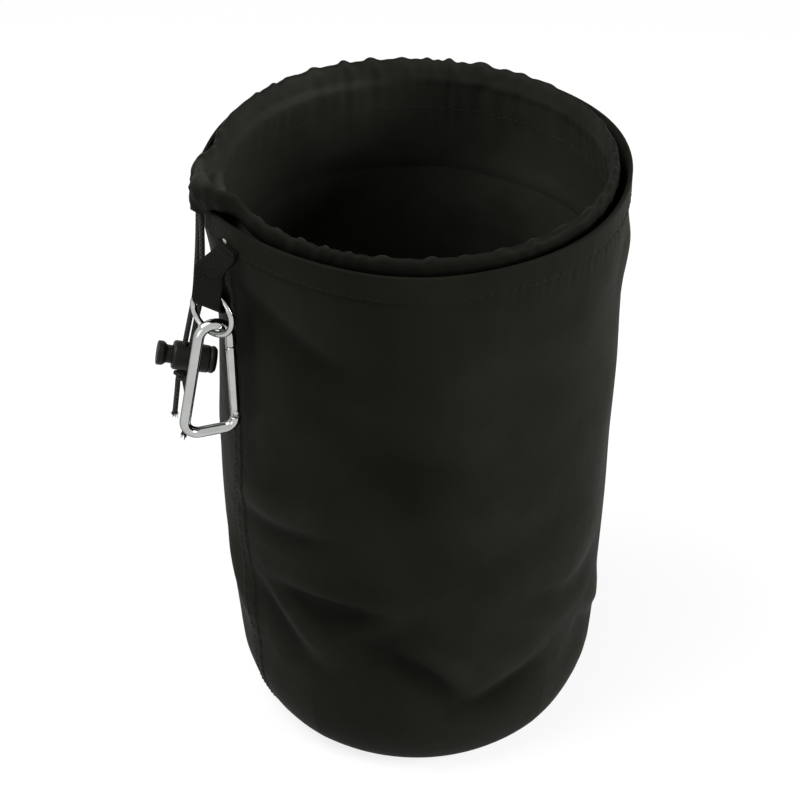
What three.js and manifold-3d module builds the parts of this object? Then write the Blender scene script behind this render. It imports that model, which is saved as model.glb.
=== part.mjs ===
// Drawstring peg bag: a round cloth bag that stands open on its sewn base, with a gathered
// drawstring collar inside its hemmed mouth, a spring cord lock on the two cord ends, and a
// webbing tab at the side seam that carries a steel ring and a snap hook.
//
// Millimetres, +Z up. The origin is the middle of the underside of the base. The front of the
// bag faces -Y. Angles are degrees about +Z, counted from +X.

import * as THREE from 'three';
import { mergeVertices } from 'three/addons/utils/BufferGeometryUtils.js';
import Module from 'manifold-3d';

const wasm = await Module();
wasm.setup();

// Fits between pieces
const SEW_GAP = 0.3;            // sewn pieces lie this far apart
const CORD_CLEARANCE = 0.3;     // cord in the lock and the knot
const PLUNGER_CLEARANCE = 0.4;  // plunger in the bore of the lock
const HOOK_CLEARANCE = 0.6;     // snap hook on the ring, ring in the tab
const FORK_CLEARANCE = 0.3;     // each side of the tongues in the gate
const PIN_CLEARANCE = 0.1;      // gate pin in its holes

// Wall and base
const BAG_HEIGHT = 300;         // underside of the base to the rim
const MOUTH_RADIUS = 95;        // outside of the hem
const SHOULDER_RADIUS = 92.5;   // outside of the wall, a little under the hem
const SHOULDER_DROP = 45;       // rim to the shoulder
const BELLY_RADIUS = 94.5;      // outside of the wall at its fullest
const BELLY_HEIGHT = 135;
const FOOT_RADIUS = 91;         // outside of the wall where it starts to turn under
const FOOT_RISE = 40;           // height of the turned-under stretch
const FOOT_INSET = 19;          // how far it turns in to the base seam
const CLOTH = 1.4;              // wall and base cloth with its coating and lining
const HEM_DEPTH = 13;
const HEM_FOLD = 0.9;           // extra thickness of the turned hem

// Where the tab and the cords pull, the wall stands out under the rim and the rim dips
const DRAG_ANGLE = 200;
const DRAG_HALF_ANGLE = 11;
const DRAG_OUT = 0.8;
const DRAG_DIP = 3;
const DRAG_DEPTH = 75;          // how far below the rim the wall is pulled out

// Drawstring collar
const COLLAR_DEPTH = 58;        // rim down to the seam of the collar on the wall
const COLLAR_CLOTH = 0.9;
const COLLAR_STAND = 5;         // collar edge above the rim
const CHANNEL_WIDTH = 5.4;      // across the middle of the channel's cloth
const CHANNEL_HEIGHT = 10.5;    // stitch line to the edge
const COLLAR_INSET = 2.4;       // free space between the collar and the wall at the mouth
const GATHERS = 24;
const GATHER_RISE = 1.1;        // rise and fall of the edge at the gathers
const GATHER_SWELL = 0.4;       // swell of the channel at the gathers

// Where the channel ends come together and lean out over the rim
const EAR_ANGLE = 197;
const EAR_HALF_ANGLE = 12;
const EAR_RISE = 6;
const EAR_OVER = 0.8;           // outside of the rim to the middle of the channel
const EXIT_HALF_ANGLE = 5;
const EXIT_SPREAD = 3.4;        // how far the channel opens for the two cords

// Drawcord
const CORD_DIAMETER = 2.5;
const CORD_SIDES = 8;
const CORD_PITCH = 3;           // between the two cords in the lock
const CORD_BEND = 6.8;          // bend from the channel down, to the middle of the cord
const CORD_SPREAD = 2.2;        // middle of the ear to each cord, at the foot of the bend
const CORD_STRAIGHT = 34;       // straight cord above the lock's middle
const CORD_SLACK = 0.6;         // how far the cord hangs in towards the wall above that

// Cord lock, on a stretch of cord that leans away from the wall
const LOCK_DROP = 83.4;         // rim to the middle of the lock
const LOCK_STANDOFF = 3.2;      // wall to the end of the barrel
const LOCK_LEAN = 13;
const LOCK_TURN = -12;          // turn of the barrel against the radius at the ear
const BARREL_RADIUS = 6.7;
const BARREL_BACK = 14;         // cord to the closed end
const BARREL_FRONT = 6.2;       // cord to the open end
const BARREL_WALL = 2;          // closed end
const BARREL_ROUND = 1.6;
const STEM_RADIUS = 4.2;
const STEM_BACK = 5.4;          // cord to the inner end of the plunger
const STEM_SHOWN = 3.5;         // bare stem between the barrel and the head
const HEAD_RADIUS = 5.6;
const HEAD_THICKNESS = 3.7;
const HEAD_DISH = 0.7;
const PRESS_TRAVEL = 2.6;

// Knot under the lock and the two loose ends
const KNOT_WIDTH = 7;
const KNOT_HEIGHT = 5.2;
const TIP_RADIUS = 2.1;         // frayed end
const TIP_LENGTH = 4;
const FRONT_TAIL = [[-0.3, 0.3, -6], [-0.4, 0.6, -11], [0, 0.9, -22], [2.6, 1.2, -30]];
const BACK_TAIL = [[0.8, -0.2, -6], [1.7, -0.4, -12], [2.7, -0.6, -19]];

// Webbing tab
const TAB_ANGLE = 213;
const TAB_WIDTH = 15;
const WEBBING = 1.2;
const TAB_STANDOFF = 9.8;       // how far the loop hangs out from the wall
const TAB_SETTLE = 10;          // length over which it leans out and turns
const TAB_TURN = 23.5;          // turn of the loop against the wall
const TAB_SEWN = 9;             // length sewn together above the loop
const LOOP_WIDTH = 6;           // inside, for the ring to swing in
const RING_DROP = 29.5;         // hem edge to the middle of the ring

// Ring
const RING_RADIUS = 10.5;       // to the middle of the wire
const RING_WIRE = 3;

// Snap hook, drawn in its own plane: x away from the gate, z up, top of the wire's middle at 0
const HOOK_WIRE = 5.2;
const HOOK_HEIGHT = 62;
const HOOK_TOP_BEND = 7;        // to the middle of the wire
const HOOK_FOOT_BEND = 6.5;
const HOOK_HEEL_BEND = 5.2;
const HOOK_FOOT_WIDTH = 28.2;
const HOOK_TURN = -15;          // plane of the hook against the radius at the tab
const HOOK_STEPS = 56;
const HOOK_SIDES = 10;
const NOSE_LENGTH = 12.2;       // top of the hook's middle line to the end of the nose
const GATE_RADIUS = 2.4;
const GATE_GAP = 0.5;
const TONGUE_THICKNESS = 2;
const TONGUE_WIDTH = 3.4;
const TONGUE_LENGTH = 3.2;
const HEEL_RADIUS = 2.1;        // round end of the tongue at the pin
const PIVOT_HEIGHT = 8.3;       // foot of the hook's middle line to the gate pin
const PIN_RADIUS = 1;
const PIN_HEAD = 0.5;           // how far the rivet stands out of the gate

// Finishes
const cloth = (color) => new THREE.MeshStandardMaterial({ color, roughness: 0.72, metalness: 0 });
const plastic = (color) => new THREE.MeshStandardMaterial({ color, roughness: 0.45, metalness: 0 });
const steel = () => new THREE.MeshStandardMaterial({ color: 0xc9cbcc, roughness: 0.18, metalness: 1 });

const radians = THREE.MathUtils.degToRad;
const degrees = THREE.MathUtils.radToDeg;

// Signed angle from one direction to another
function angleFrom(angle, middle) {
  return THREE.MathUtils.euclideanModulo(angle - middle + 180, 360) - 180;
}

// Solids
function bare(geometry) {
  const copy = geometry.index ? geometry.toNonIndexed() : geometry.clone();
  copy.deleteAttribute('normal');
  copy.deleteAttribute('uv');
  return mergeVertices(copy, 1e-4);
}

function toSolid(geometry) {
  const merged = bare(geometry);
  return new wasm.Manifold(new wasm.Mesh({
    numProp: 3,
    vertProperties: Float32Array.from(merged.attributes.position.array),
    triVerts: Uint32Array.from(merged.index.array),
  }));
}

function toGeometry(solid) {
  const mesh = solid.getMesh();
  const geometry = new THREE.BufferGeometry();
  geometry.setAttribute('position', new THREE.BufferAttribute(mesh.vertProperties, 3));
  geometry.setIndex(new THREE.BufferAttribute(mesh.triVerts, 1));
  geometry.computeVertexNormals();
  return geometry;
}

// A revolve about +Z of a closed profile of [radius, height] points
function revolve(profile, segments) {
  const points = profile.map(([r, z]) => new THREE.Vector2(r, z));
  return new THREE.LatheGeometry(points, segments).rotateX(Math.PI / 2);
}

// A round section swept along a curve, with closed ends
function tube(curve, radius, sides, steps) {
  const outline = Array.from({ length: sides }, (_, i) => {
    const turn = (2 * Math.PI * (i + 0.5)) / sides;
    return new THREE.Vector2(radius * Math.cos(turn), radius * Math.sin(turn));
  });
  return new THREE.ExtrudeGeometry(new THREE.Shape(outline), {
    steps,
    extrudePath: curve,
    bevelEnabled: false,
  });
}

// A flat plate whose outline lies in the XZ plane, centred on y = 0
function plate(shape, thickness) {
  const geometry = new THREE.ExtrudeGeometry(shape, {
    depth: thickness,
    bevelEnabled: false,
    curveSegments: 10,
  });
  return geometry.translate(0, 0, -thickness / 2).rotateX(Math.PI / 2);
}

function box(width, depth, height, x, y, z) {
  return new THREE.BoxGeometry(width, depth, height).translate(x, y, z);
}

// A closed band whose section, a loop of [radius, height] points, may change with the angle
function bandSweep(sectionAt, count) {
  const rings = Array.from({ length: count }, (_, i) => {
    const turn = (2 * Math.PI * i) / count;
    const loop = sectionAt(THREE.MathUtils.radToDeg(turn));
    return loop.map(([r, z]) => [r * Math.cos(turn), r * Math.sin(turn), z]);
  });
  const across = rings[0].length;
  const index = [];
  for (let i = 0; i < count; i += 1) {
    for (let j = 0; j < across; j += 1) {
      const a = i * across + j;
      const b = ((i + 1) % count) * across + j;
      const c = ((i + 1) % count) * across + ((j + 1) % across);
      const d = i * across + ((j + 1) % across);
      index.push(a, b, c, a, c, d);
    }
  }
  const geometry = new THREE.BufferGeometry();
  geometry.setAttribute('position', new THREE.Float32BufferAttribute(rings.flat(2), 3));
  geometry.setIndex(index);
  geometry.computeVertexNormals();
  return geometry;
}

// Both sides of a line of cloth, as one closed loop
function thicken(line, thickness) {
  const sides = line.map((point, i) => {
    const before = line[Math.max(i - 1, 0)];
    const after = line[Math.min(i + 1, line.length - 1)];
    const run = Math.hypot(after[0] - before[0], after[1] - before[1]);
    const across = [(after[1] - before[1]) / run, -(after[0] - before[0]) / run];
    const half = thickness / 2;
    return [
      [point[0] + half * across[0], point[1] + half * across[1]],
      [point[0] - half * across[0], point[1] - half * across[1]],
    ];
  });
  return [...sides.map((side) => side[0]), ...sides.map((side) => side[1]).reverse()];
}

const bag = new THREE.Group();

function add(parent, name, geometry, material) {
  const mesh = new THREE.Mesh(geometry, material);
  mesh.name = name;
  parent.add(mesh);
  return mesh;
}

// Wall: the outside radius at each height, eased from one station to the next
const hemEdge = BAG_HEIGHT - HEM_DEPTH;
const underHem = MOUTH_RADIUS - HEM_FOLD;
const stations = [
  [FOOT_RADIUS, FOOT_RISE],
  [BELLY_RADIUS, BELLY_HEIGHT],
  [SHOULDER_RADIUS, BAG_HEIGHT - SHOULDER_DROP],
  [underHem, hemEdge],
];

function wallRadius(height) {
  for (let i = 1; i < stations.length; i += 1) {
    const [r0, z0] = stations[i - 1];
    const [r1, z1] = stations[i];
    if (height <= z1) {
      return r0 + (r1 - r0) * THREE.MathUtils.smoothstep(height, z0, z1);
    }
  }
  return underHem;
}

function drag(angle, height) {
  const weight = Math.exp(-((angleFrom(angle, DRAG_ANGLE) / DRAG_HALF_ANGLE) ** 2));
  const low = BAG_HEIGHT - DRAG_DEPTH;
  return {
    out: DRAG_OUT * weight * THREE.MathUtils.smoothstep(height, low, hemEdge),
    down: DRAG_DIP * weight * THREE.MathUtils.smoothstep(height, low, BAG_HEIGHT),
  };
}

function dragged(geometry) {
  const points = geometry.attributes.position;
  for (let i = 0; i < points.count; i += 1) {
    const [x, y, z] = [points.getX(i), points.getY(i), points.getZ(i)];
    const radius = Math.hypot(x, y);
    const { out, down } = drag(degrees(Math.atan2(y, x)), z);
    const stretch = (radius + out) / radius;
    points.setXYZ(i, x * stretch, y * stretch, z - down);
  }
  return geometry;
}

const baseRadius = FOOT_RADIUS - FOOT_INSET;

function footCurve(inset) {
  return Array.from({ length: 7 }, (_, i) => {
    const turn = (Math.PI / 2) * (i / 6 - 1);
    return [
      baseRadius + (FOOT_INSET - inset) * Math.cos(turn),
      FOOT_RISE + (FOOT_RISE - inset) * Math.sin(turn),
    ];
  });
}

const risingHeights = [];
for (let i = 1; i < stations.length; i += 1) {
  const [low, high] = [stations[i - 1][1], stations[i][1]];
  for (let k = 1; k <= 3; k += 1) {
    risingHeights.push(low + ((high - low) * k) / 3);
  }
}
const outside = [
  ...footCurve(0),
  ...risingHeights.map((z) => [wallRadius(z), z]),
  [MOUTH_RADIUS, hemEdge + HEM_FOLD],
  [MOUTH_RADIUS, BAG_HEIGHT - CLOTH / 2],
  [MOUTH_RADIUS - CLOTH / 2, BAG_HEIGHT],
];
const inside = [
  ...footCurve(CLOTH),
  ...risingHeights.map((z) => [wallRadius(z) - CLOTH, z]),
  [underHem - CLOTH, BAG_HEIGHT - CLOTH / 2],
  [underHem - CLOTH / 2, BAG_HEIGHT],
];
const wallProfile = [...outside, ...inside.reverse()];
const wall = dragged(revolve([...wallProfile, wallProfile[0]], 48));
add(bag, 'wall_panel', wall, cloth(0x1c1d19));

// Base: a disc of the same cloth, sewn to the turned-under edge of the wall
const discRadius = baseRadius - SEW_GAP;
add(bag, 'base_panel', revolve([
  [0, 0],
  [discRadius - CLOTH / 4, 0],
  [discRadius, CLOTH / 4],
  [discRadius, CLOTH],
  [0, CLOTH],
], 48), cloth(0x1a1b18));

// Collar: a strip sewn inside the wall whose top edge is turned down into a channel for the cord
const channelTop = BAG_HEIGHT + COLLAR_STAND;
const channelSeam = channelTop - CHANNEL_HEIGHT;
const channelRadius = underHem - CLOTH - COLLAR_INSET - (CHANNEL_WIDTH + COLLAR_CLOTH) / 2;
const collarFoot = BAG_HEIGHT - COLLAR_DEPTH;
const insideCloth = CLOTH + SEW_GAP + COLLAR_CLOTH / 2;
const collarSeat = wallRadius(collarFoot) - insideCloth;
const sheetRadius = channelRadius - COLLAR_CLOTH;
const flapRadius = channelRadius + SEW_GAP;

const earRim = MOUTH_RADIUS + drag(EAR_ANGLE, BAG_HEIGHT).out;
const earReach = earRim + EAR_OVER - channelRadius;

function earShift(angle) {
  const weight = Math.exp(-((angleFrom(angle, EAR_ANGLE) / EAR_HALF_ANGLE) ** 4));
  return { out: earReach * weight, up: EAR_RISE * weight ** 0.3, weight };
}

function collarLine(angle) {
  const { out, up, weight } = earShift(angle);
  const open = EXIT_SPREAD * Math.exp(-((angleFrom(angle, EAR_ANGLE) / EXIT_HALF_ANGLE) ** 2));
  const wave = Math.cos(radians(angle) * GATHERS);
  const rise = GATHER_RISE * wave;
  const swell = (CHANNEL_WIDTH / 2) + GATHER_SWELL * wave;
  const seam = channelSeam + up;
  const top = channelTop - COLLAR_CLOTH / 2 + up + rise;
  const middle = channelRadius + out;
  const lift = top - seam;
  const bend = Math.min(BAG_HEIGHT + CLOTH * weight, seam - COLLAR_CLOTH * 2);
  const half = (collarFoot + bend) / 2;
  return [
    [collarSeat + drag(angle, collarFoot).out, collarFoot],
    [Math.min(collarSeat - COLLAR_CLOTH / 2, wallRadius(half) - insideCloth), half],
    [sheetRadius + COLLAR_CLOTH * weight, bend],
    [sheetRadius + out - open / 4, seam],
    [middle - swell, seam + lift * 0.42],
    [middle - swell * 0.75, seam + lift * 0.8],
    [middle, top],
    [middle + swell * 0.75 + open / 2, seam + lift * 0.8],
    [middle + swell + open, seam + lift * 0.42],
    [flapRadius + out + open, seam + COLLAR_CLOTH],
  ];
}

const collar = bandSweep((angle) => thicken(collarLine(angle), COLLAR_CLOTH), GATHERS * 4);
add(bag, 'drawstring_collar', collar, cloth(0x22231e));

// Drawcord inside the channel, from one side of the ear round to the other
const cordRadius = CORD_DIAMETER / 2;
const channelMiddle = channelSeam + CHANNEL_HEIGHT * 0.45;

const earMiddle = channelRadius + earReach;
const bendEnd = CORD_SPREAD + CORD_BEND;
const runEnd = degrees(Math.asin((bendEnd + CORD_CLEARANCE) / earMiddle));

class ChannelCurve extends THREE.Curve {
  getPoint(t, target = new THREE.Vector3()) {
    const angle = EAR_ANGLE + runEnd + (360 - 2 * runEnd) * t;
    const { out, up } = earShift(angle);
    const radius = channelRadius + out;
    const around = radians(angle);
    return target.set(radius * Math.cos(around), radius * Math.sin(around), channelMiddle + up);
  }
}
add(bag, 'drawcord_run', tube(new ChannelCurve(), cordRadius, CORD_SIDES, 72), cloth(0x2b2c26));

// Everything on the loose cords is placed in a group turned to the ear: x outwards, y along the rim
const ear = new THREE.Group();
ear.rotation.z = radians(EAR_ANGLE);
bag.add(ear);

const lean = radians(LOCK_LEAN);
const lockHeight = BAG_HEIGHT - LOCK_DROP;
const lockReach = wallRadius(lockHeight) + LOCK_STANDOFF + BARREL_BACK * Math.cos(lean);

const lockTurn = radians(LOCK_TURN);
const lockAxis = new THREE.Vector3(Math.cos(lockTurn), Math.sin(lockTurn), 0);
const lockSide = lockAxis.clone().multiplyScalar(-Math.cos(lean)).setZ(-Math.sin(lean));

// A point on the straight stretch of cord, by its height along the cord above the lock's middle
function onCord(along, sideways) {
  return new THREE.Vector3(lockReach, 0, lockHeight + Math.cos(lean) * along)
    .addScaledVector(lockAxis, -Math.sin(lean) * along)
    .addScaledVector(lockSide, sideways);
}

const exitReach = earRim + cordRadius + 4 * CORD_CLEARANCE;
const exitHeight = channelMiddle + EAR_RISE;

function legCurve(side) {
  const half = (side * CORD_PITCH) / 2;
  const straight = [0, 0.35, 0.7, 1].map((t) => onCord(CORD_STRAIGHT * t, half));
  const bendFoot = new THREE.Vector3(exitReach, side * CORD_SPREAD, exitHeight - CORD_BEND);
  const fall = [0.27, 0.52, 0.77].map((t) => {
    const point = straight[3].clone().lerp(bendFoot, t);
    point.x -= CORD_SLACK * Math.sin(Math.PI * t);
    return point;
  });
  const bend = [0, 25, 50, 72, 90].map((angle) => {
    const out = 1 - Math.cos(radians(angle));
    const up = Math.sin(radians(angle)) - 1;
    return new THREE.Vector3(
      exitReach + (earMiddle * Math.cos(radians(runEnd)) - exitReach) * out,
      side * (CORD_SPREAD + CORD_BEND * out),
      exitHeight + CORD_BEND * up,
    );
  });
  const foot = onCord(-BARREL_RADIUS - CORD_CLEARANCE, half);
  return new THREE.CatmullRomCurve3([foot, ...straight, ...fall, ...bend]);
}
add(ear, 'drawcord_leg_front', tube(legCurve(1), cordRadius, CORD_SIDES, 26), cloth(0x2d2e27));
add(ear, 'drawcord_leg_back', tube(legCurve(-1), cordRadius, CORD_SIDES, 26), cloth(0x2d2e27));

// Lock: x along the barrel towards its head, z up the cord
const lock = new THREE.Group();
lock.position.copy(onCord(0, 0));
lock.rotation.set(0, -lean, lockTurn, 'ZYX');
ear.add(lock);

const slotEnd = cordRadius + CORD_CLEARANCE;
const slotReach = CORD_PITCH / 2 + slotEnd;

// Slot for the two cords, from one place along the barrel to another
function cordSlot(from, to) {
  const outline = new THREE.Shape();
  const round = slotEnd * 0.9;
  outline.moveTo(from + round, -slotEnd);
  outline.lineTo(to - round, -slotEnd);
  outline.absarc(to - round, -slotEnd + round, round, -Math.PI / 2, 0, false);
  outline.absarc(to - round, slotEnd - round, round, 0, Math.PI / 2, false);
  outline.absarc(from + round, slotEnd - round, round, Math.PI / 2, Math.PI, false);
  outline.absarc(from + round, -slotEnd + round, round, Math.PI, 1.5 * Math.PI, false);
  const length = BARREL_RADIUS * 4;
  const geometry = new THREE.ExtrudeGeometry(outline, {
    depth: length,
    bevelEnabled: false,
    curveSegments: 4,
  });
  return toSolid(geometry.translate(0, 0, -length / 2));
}

// A revolve about the barrel's axis of [place along the barrel, radius] points
function turned(profile, segments) {
  return revolve(profile.map(([x, r]) => [r, x]), segments).rotateY(Math.PI / 2);
}

const boreRadius = STEM_RADIUS + PLUNGER_CLEARANCE;
const barrelBlank = turned([
  [-BARREL_BACK, 0],
  [-BARREL_BACK, BARREL_RADIUS - BARREL_ROUND],
  [-BARREL_BACK + BARREL_ROUND * 0.3, BARREL_RADIUS - BARREL_ROUND * 0.3],
  [-BARREL_BACK + BARREL_ROUND, BARREL_RADIUS],
  [BARREL_FRONT - BARREL_ROUND / 2, BARREL_RADIUS],
  [BARREL_FRONT, BARREL_RADIUS - BARREL_ROUND / 2],
  [BARREL_FRONT, boreRadius],
  [-BARREL_BACK + BARREL_WALL, boreRadius],
  [-BARREL_BACK + BARREL_WALL, 0],
], 28);
const barrel = toSolid(barrelBlank).subtract(cordSlot(-slotReach - PRESS_TRAVEL, slotReach));
add(lock, 'lock_barrel', toGeometry(barrel), plastic(0x24251f));

const headStart = BARREL_FRONT + STEM_SHOWN;
const headEnd = headStart + HEAD_THICKNESS;
const plungerBlank = turned([
  [-STEM_BACK, 0],
  [-STEM_BACK, STEM_RADIUS],
  [headStart - HEAD_THICKNESS / 5, STEM_RADIUS],
  [headStart, STEM_RADIUS + (HEAD_RADIUS - STEM_RADIUS) / 2],
  [headStart + HEAD_THICKNESS / 3, HEAD_RADIUS],
  [headEnd - HEAD_DISH / 2, HEAD_RADIUS],
  [headEnd, HEAD_RADIUS - HEAD_DISH],
  [headEnd - HEAD_DISH, HEAD_RADIUS / 2],
  [headEnd - HEAD_DISH, 0],
], 28);
const plunger = toSolid(plungerBlank).subtract(cordSlot(-slotReach, slotReach + PRESS_TRAVEL));
add(lock, 'lock_plunger', toGeometry(plunger), plastic(0x262722));

// Knot that ties both cords under the lock
const knotTop = -BARREL_RADIUS - 2 * CORD_CLEARANCE;
const knotRadius = KNOT_WIDTH / 2;
const knotProfile = [
  [0, knotTop - KNOT_HEIGHT],
  [knotRadius * 0.6, knotTop - KNOT_HEIGHT],
  [knotRadius * 0.9, knotTop - KNOT_HEIGHT * 0.82],
  [knotRadius, knotTop - KNOT_HEIGHT * 0.68],
  [knotRadius * 0.84, knotTop - KNOT_HEIGHT * 0.5],
  [knotRadius, knotTop - KNOT_HEIGHT * 0.32],
  [knotRadius * 0.9, knotTop - KNOT_HEIGHT * 0.18],
  [knotRadius * 0.6, knotTop],
  [0, knotTop],
];
const knot = add(ear, 'cord_knot', revolve(knotProfile, 18), cloth(0x2b2c26));
knot.position.copy(lock.position);
knot.rotation.copy(lock.rotation);

// Loose ends, each a short cord with a frayed tip
const tailStart = knotTop - KNOT_HEIGHT - CORD_CLEARANCE;

function tail(side, route) {
  const start = onCord(tailStart, (side * CORD_PITCH) / 2);
  const steps = route.map(([x, y, z]) => new THREE.Vector3(x, y, z).add(start));
  const curve = new THREE.CatmullRomCurve3([start, ...steps]);
  const end = curve.getPoint(1);
  const heading = curve.getTangent(1);
  const tip = revolve([
    [0, -cordRadius],
    [cordRadius * 0.9, -cordRadius],
    [cordRadius * 1.05, 0],
    [TIP_RADIUS, TIP_LENGTH - cordRadius],
    [0, TIP_LENGTH - cordRadius * 1.2],
  ], CORD_SIDES);
  tip.applyQuaternion(new THREE.Quaternion().setFromUnitVectors(new THREE.Vector3(0, 0, 1), heading));
  tip.translate(end.x, end.y, end.z);
  return toGeometry(toSolid(tube(curve, cordRadius, CORD_SIDES, 8)).add(toSolid(tip)));
}
add(ear, 'cord_tail_front', tail(1, FRONT_TAIL), cloth(0x2d2e27));
add(ear, 'cord_tail_back', tail(-1, BACK_TAIL), cloth(0x2d2e27));

// Tab: the webbing hangs from under the hem, leans out, turns, and folds round the ring
const tab = new THREE.Group();
tab.rotation.z = radians(TAB_ANGLE);
bag.add(tab);

const tabTop = hemEdge - drag(TAB_ANGLE, hemEdge).down - SEW_GAP;
const tabEdge = TAB_ANGLE - degrees(TAB_WIDTH / 2 / underHem);
const tabReach = underHem + drag(tabEdge, hemEdge).out + SEW_GAP + WEBBING;
const ringHeight = hemEdge - RING_DROP;
const hangHeights = [0, 0.25, 0.5, 0.75, 1].map((t) => ringHeight - HOOK_HEIGHT * t);
const hangWall = Math.max(underHem, ...hangHeights.map(wallRadius));
const ringReach = Math.max(tabReach, hangWall + SEW_GAP + WEBBING + TAB_STANDOFF);
const ringSide = RING_RADIUS * Math.cos(Math.asin(TAB_WIDTH / 2 / RING_RADIUS));
const ringLow = ringSide - RING_WIRE / 2 / (ringSide / RING_RADIUS);
const loopFoot = tabTop + SEW_GAP - ringHeight - ringLow + HOOK_CLEARANCE;
const loopHalf = LOOP_WIDTH / 2;
const loopTop = TAB_SEWN + WEBBING;

// Half thickness of the tab, or of the space in its loop, by the distance down from the hem
function tabOutline(half, top, foot, halfTop) {
  const rows = 6;
  const middle = foot - half;
  const side = Array.from({ length: rows + 1 }, (_, i) => {
    const down = top + ((middle - top) * i) / rows;
    const spread = THREE.MathUtils.smoothstep(down, TAB_SEWN, middle);
    return [halfTop + (half - halfTop) * spread, down];
  });
  const turns = Array.from({ length: 7 }, (_, i) => {
    const turn = (Math.PI * (i + 1)) / 8;
    return [half * Math.cos(turn), middle + half * Math.sin(turn)];
  });
  const other = side.map(([n, down]) => [-n, down]).reverse();
  return [...side, ...turns, ...other].map(([n, down]) => new THREE.Vector2(n, down));
}

const tabShape = new THREE.Shape(tabOutline(loopHalf + WEBBING, 0, loopFoot + WEBBING, WEBBING));
tabShape.holes.push(new THREE.Path(tabOutline(loopHalf, loopTop, loopFoot, SEW_GAP)));
const tabGeometry = new THREE.ExtrudeGeometry(tabShape, { depth: TAB_WIDTH, bevelEnabled: false });
const tabPoints = tabGeometry.attributes.position;
for (let i = 0; i < tabPoints.count; i += 1) {
  const thick = tabPoints.getX(i);
  const down = tabPoints.getY(i);
  const wide = tabPoints.getZ(i) - TAB_WIDTH / 2;
  const settled = THREE.MathUtils.smoothstep(down, 0, TAB_SETTLE);
  const turn = radians(TAB_TURN) * settled;
  tabPoints.setXYZ(
    i,
    tabReach + (ringReach - tabReach) * settled + thick * Math.cos(turn) - wide * Math.sin(turn),
    thick * Math.sin(turn) + wide * Math.cos(turn),
    tabTop - down,
  );
}
add(tab, 'webbing_tab', tabGeometry, cloth(0x191a15));

// Ring: hangs in the fold, in the plane of the turned webbing
const ringSpot = new THREE.Group();
ringSpot.position.set(ringReach, 0, ringHeight);
tab.add(ringSpot);
const ringGeometry = new THREE.TorusGeometry(RING_RADIUS, RING_WIRE / 2, 10, 36);
ringGeometry.rotateX(Math.PI / 2).rotateZ(Math.PI / 2 + radians(TAB_TURN));
add(ringSpot, 'tab_ring', ringGeometry, steel());

// Snap hook: hangs on the ring with its gate towards the wall
const hook = new THREE.Group();
hook.position.set(0, 0, -RING_RADIUS + RING_WIRE / 2 + HOOK_CLEARANCE + HOOK_WIRE / 2);
hook.rotation.z = radians(HOOK_TURN);
ringSpot.add(hook);

const hookWireRadius = HOOK_WIRE / 2;
const footLine = HOOK_WIRE - HOOK_HEIGHT;
const gateLine = -HOOK_TOP_BEND;
const pivot = footLine + PIVOT_HEIGHT;
const heelEnd = pivot - GATE_RADIUS - GATE_GAP;
const topCentre = new THREE.Vector2(0, -HOOK_TOP_BEND);
const footCentre = new THREE.Vector2(
  gateLine + HOOK_FOOT_WIDTH - HOOK_WIRE - HOOK_FOOT_BEND,
  footLine + HOOK_FOOT_BEND,
);
const heelCentre = new THREE.Vector2(gateLine + HOOK_HEEL_BEND, footLine + HOOK_HEEL_BEND);
const spine = topCentre.clone().sub(footCentre);
const spineNormal = spine.angle() - Math.acos((HOOK_FOOT_BEND - HOOK_TOP_BEND) / spine.length());

const hookLine = new THREE.Path();
hookLine.moveTo(gateLine, heelEnd);
hookLine.lineTo(gateLine, heelCentre.y);
hookLine.absarc(heelCentre.x, heelCentre.y, HOOK_HEEL_BEND, Math.PI, 1.5 * Math.PI, false);
hookLine.lineTo(footCentre.x, footLine);
hookLine.absarc(footCentre.x, footCentre.y, HOOK_FOOT_BEND, -Math.PI / 2, spineNormal, false);
hookLine.absarc(topCentre.x, topCentre.y, HOOK_TOP_BEND, spineNormal, Math.PI, false);
hookLine.lineTo(gateLine, -NOSE_LENGTH);

class HookCurve extends THREE.Curve {
  getPoint(t, target = new THREE.Vector3()) {
    const point = hookLine.getPointAt(t);
    return target.set(point.x, 0, point.y);
  }
}

// Flat tongue on the gate line, from a flat end to a round one
function tongue(flatEnd, roundCentre, halfWidth) {
  const up = Math.sign(roundCentre - flatEnd);
  const shape = new THREE.Shape();
  shape.moveTo(gateLine - halfWidth, flatEnd);
  shape.lineTo(gateLine + halfWidth, flatEnd);
  shape.absarc(gateLine, roundCentre, halfWidth, 0, up * Math.PI, up < 0);
  shape.lineTo(gateLine - halfWidth, flatEnd);
  return toSolid(plate(shape, TONGUE_THICKNESS));
}

function pinHole(radius, length) {
  return toSolid(new THREE.CylinderGeometry(radius, radius, length, 16).translate(gateLine, 0, pivot));
}

const noseTip = -NOSE_LENGTH - TONGUE_LENGTH;
const hookWire = toSolid(tube(new HookCurve(), hookWireRadius, HOOK_SIDES, HOOK_STEPS));
const hookFrame = hookWire
  .add(tongue(heelEnd - HOOK_WIRE / 4, pivot, HEEL_RADIUS))
  .add(tongue(-NOSE_LENGTH + HOOK_WIRE / 4, noseTip + TONGUE_WIDTH / 2, TONGUE_WIDTH / 2))
  .subtract(pinHole(PIN_RADIUS + PIN_CLEARANCE, HOOK_WIRE * 2));
add(hook, 'hook_frame', toGeometry(hookFrame), steel());

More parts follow.
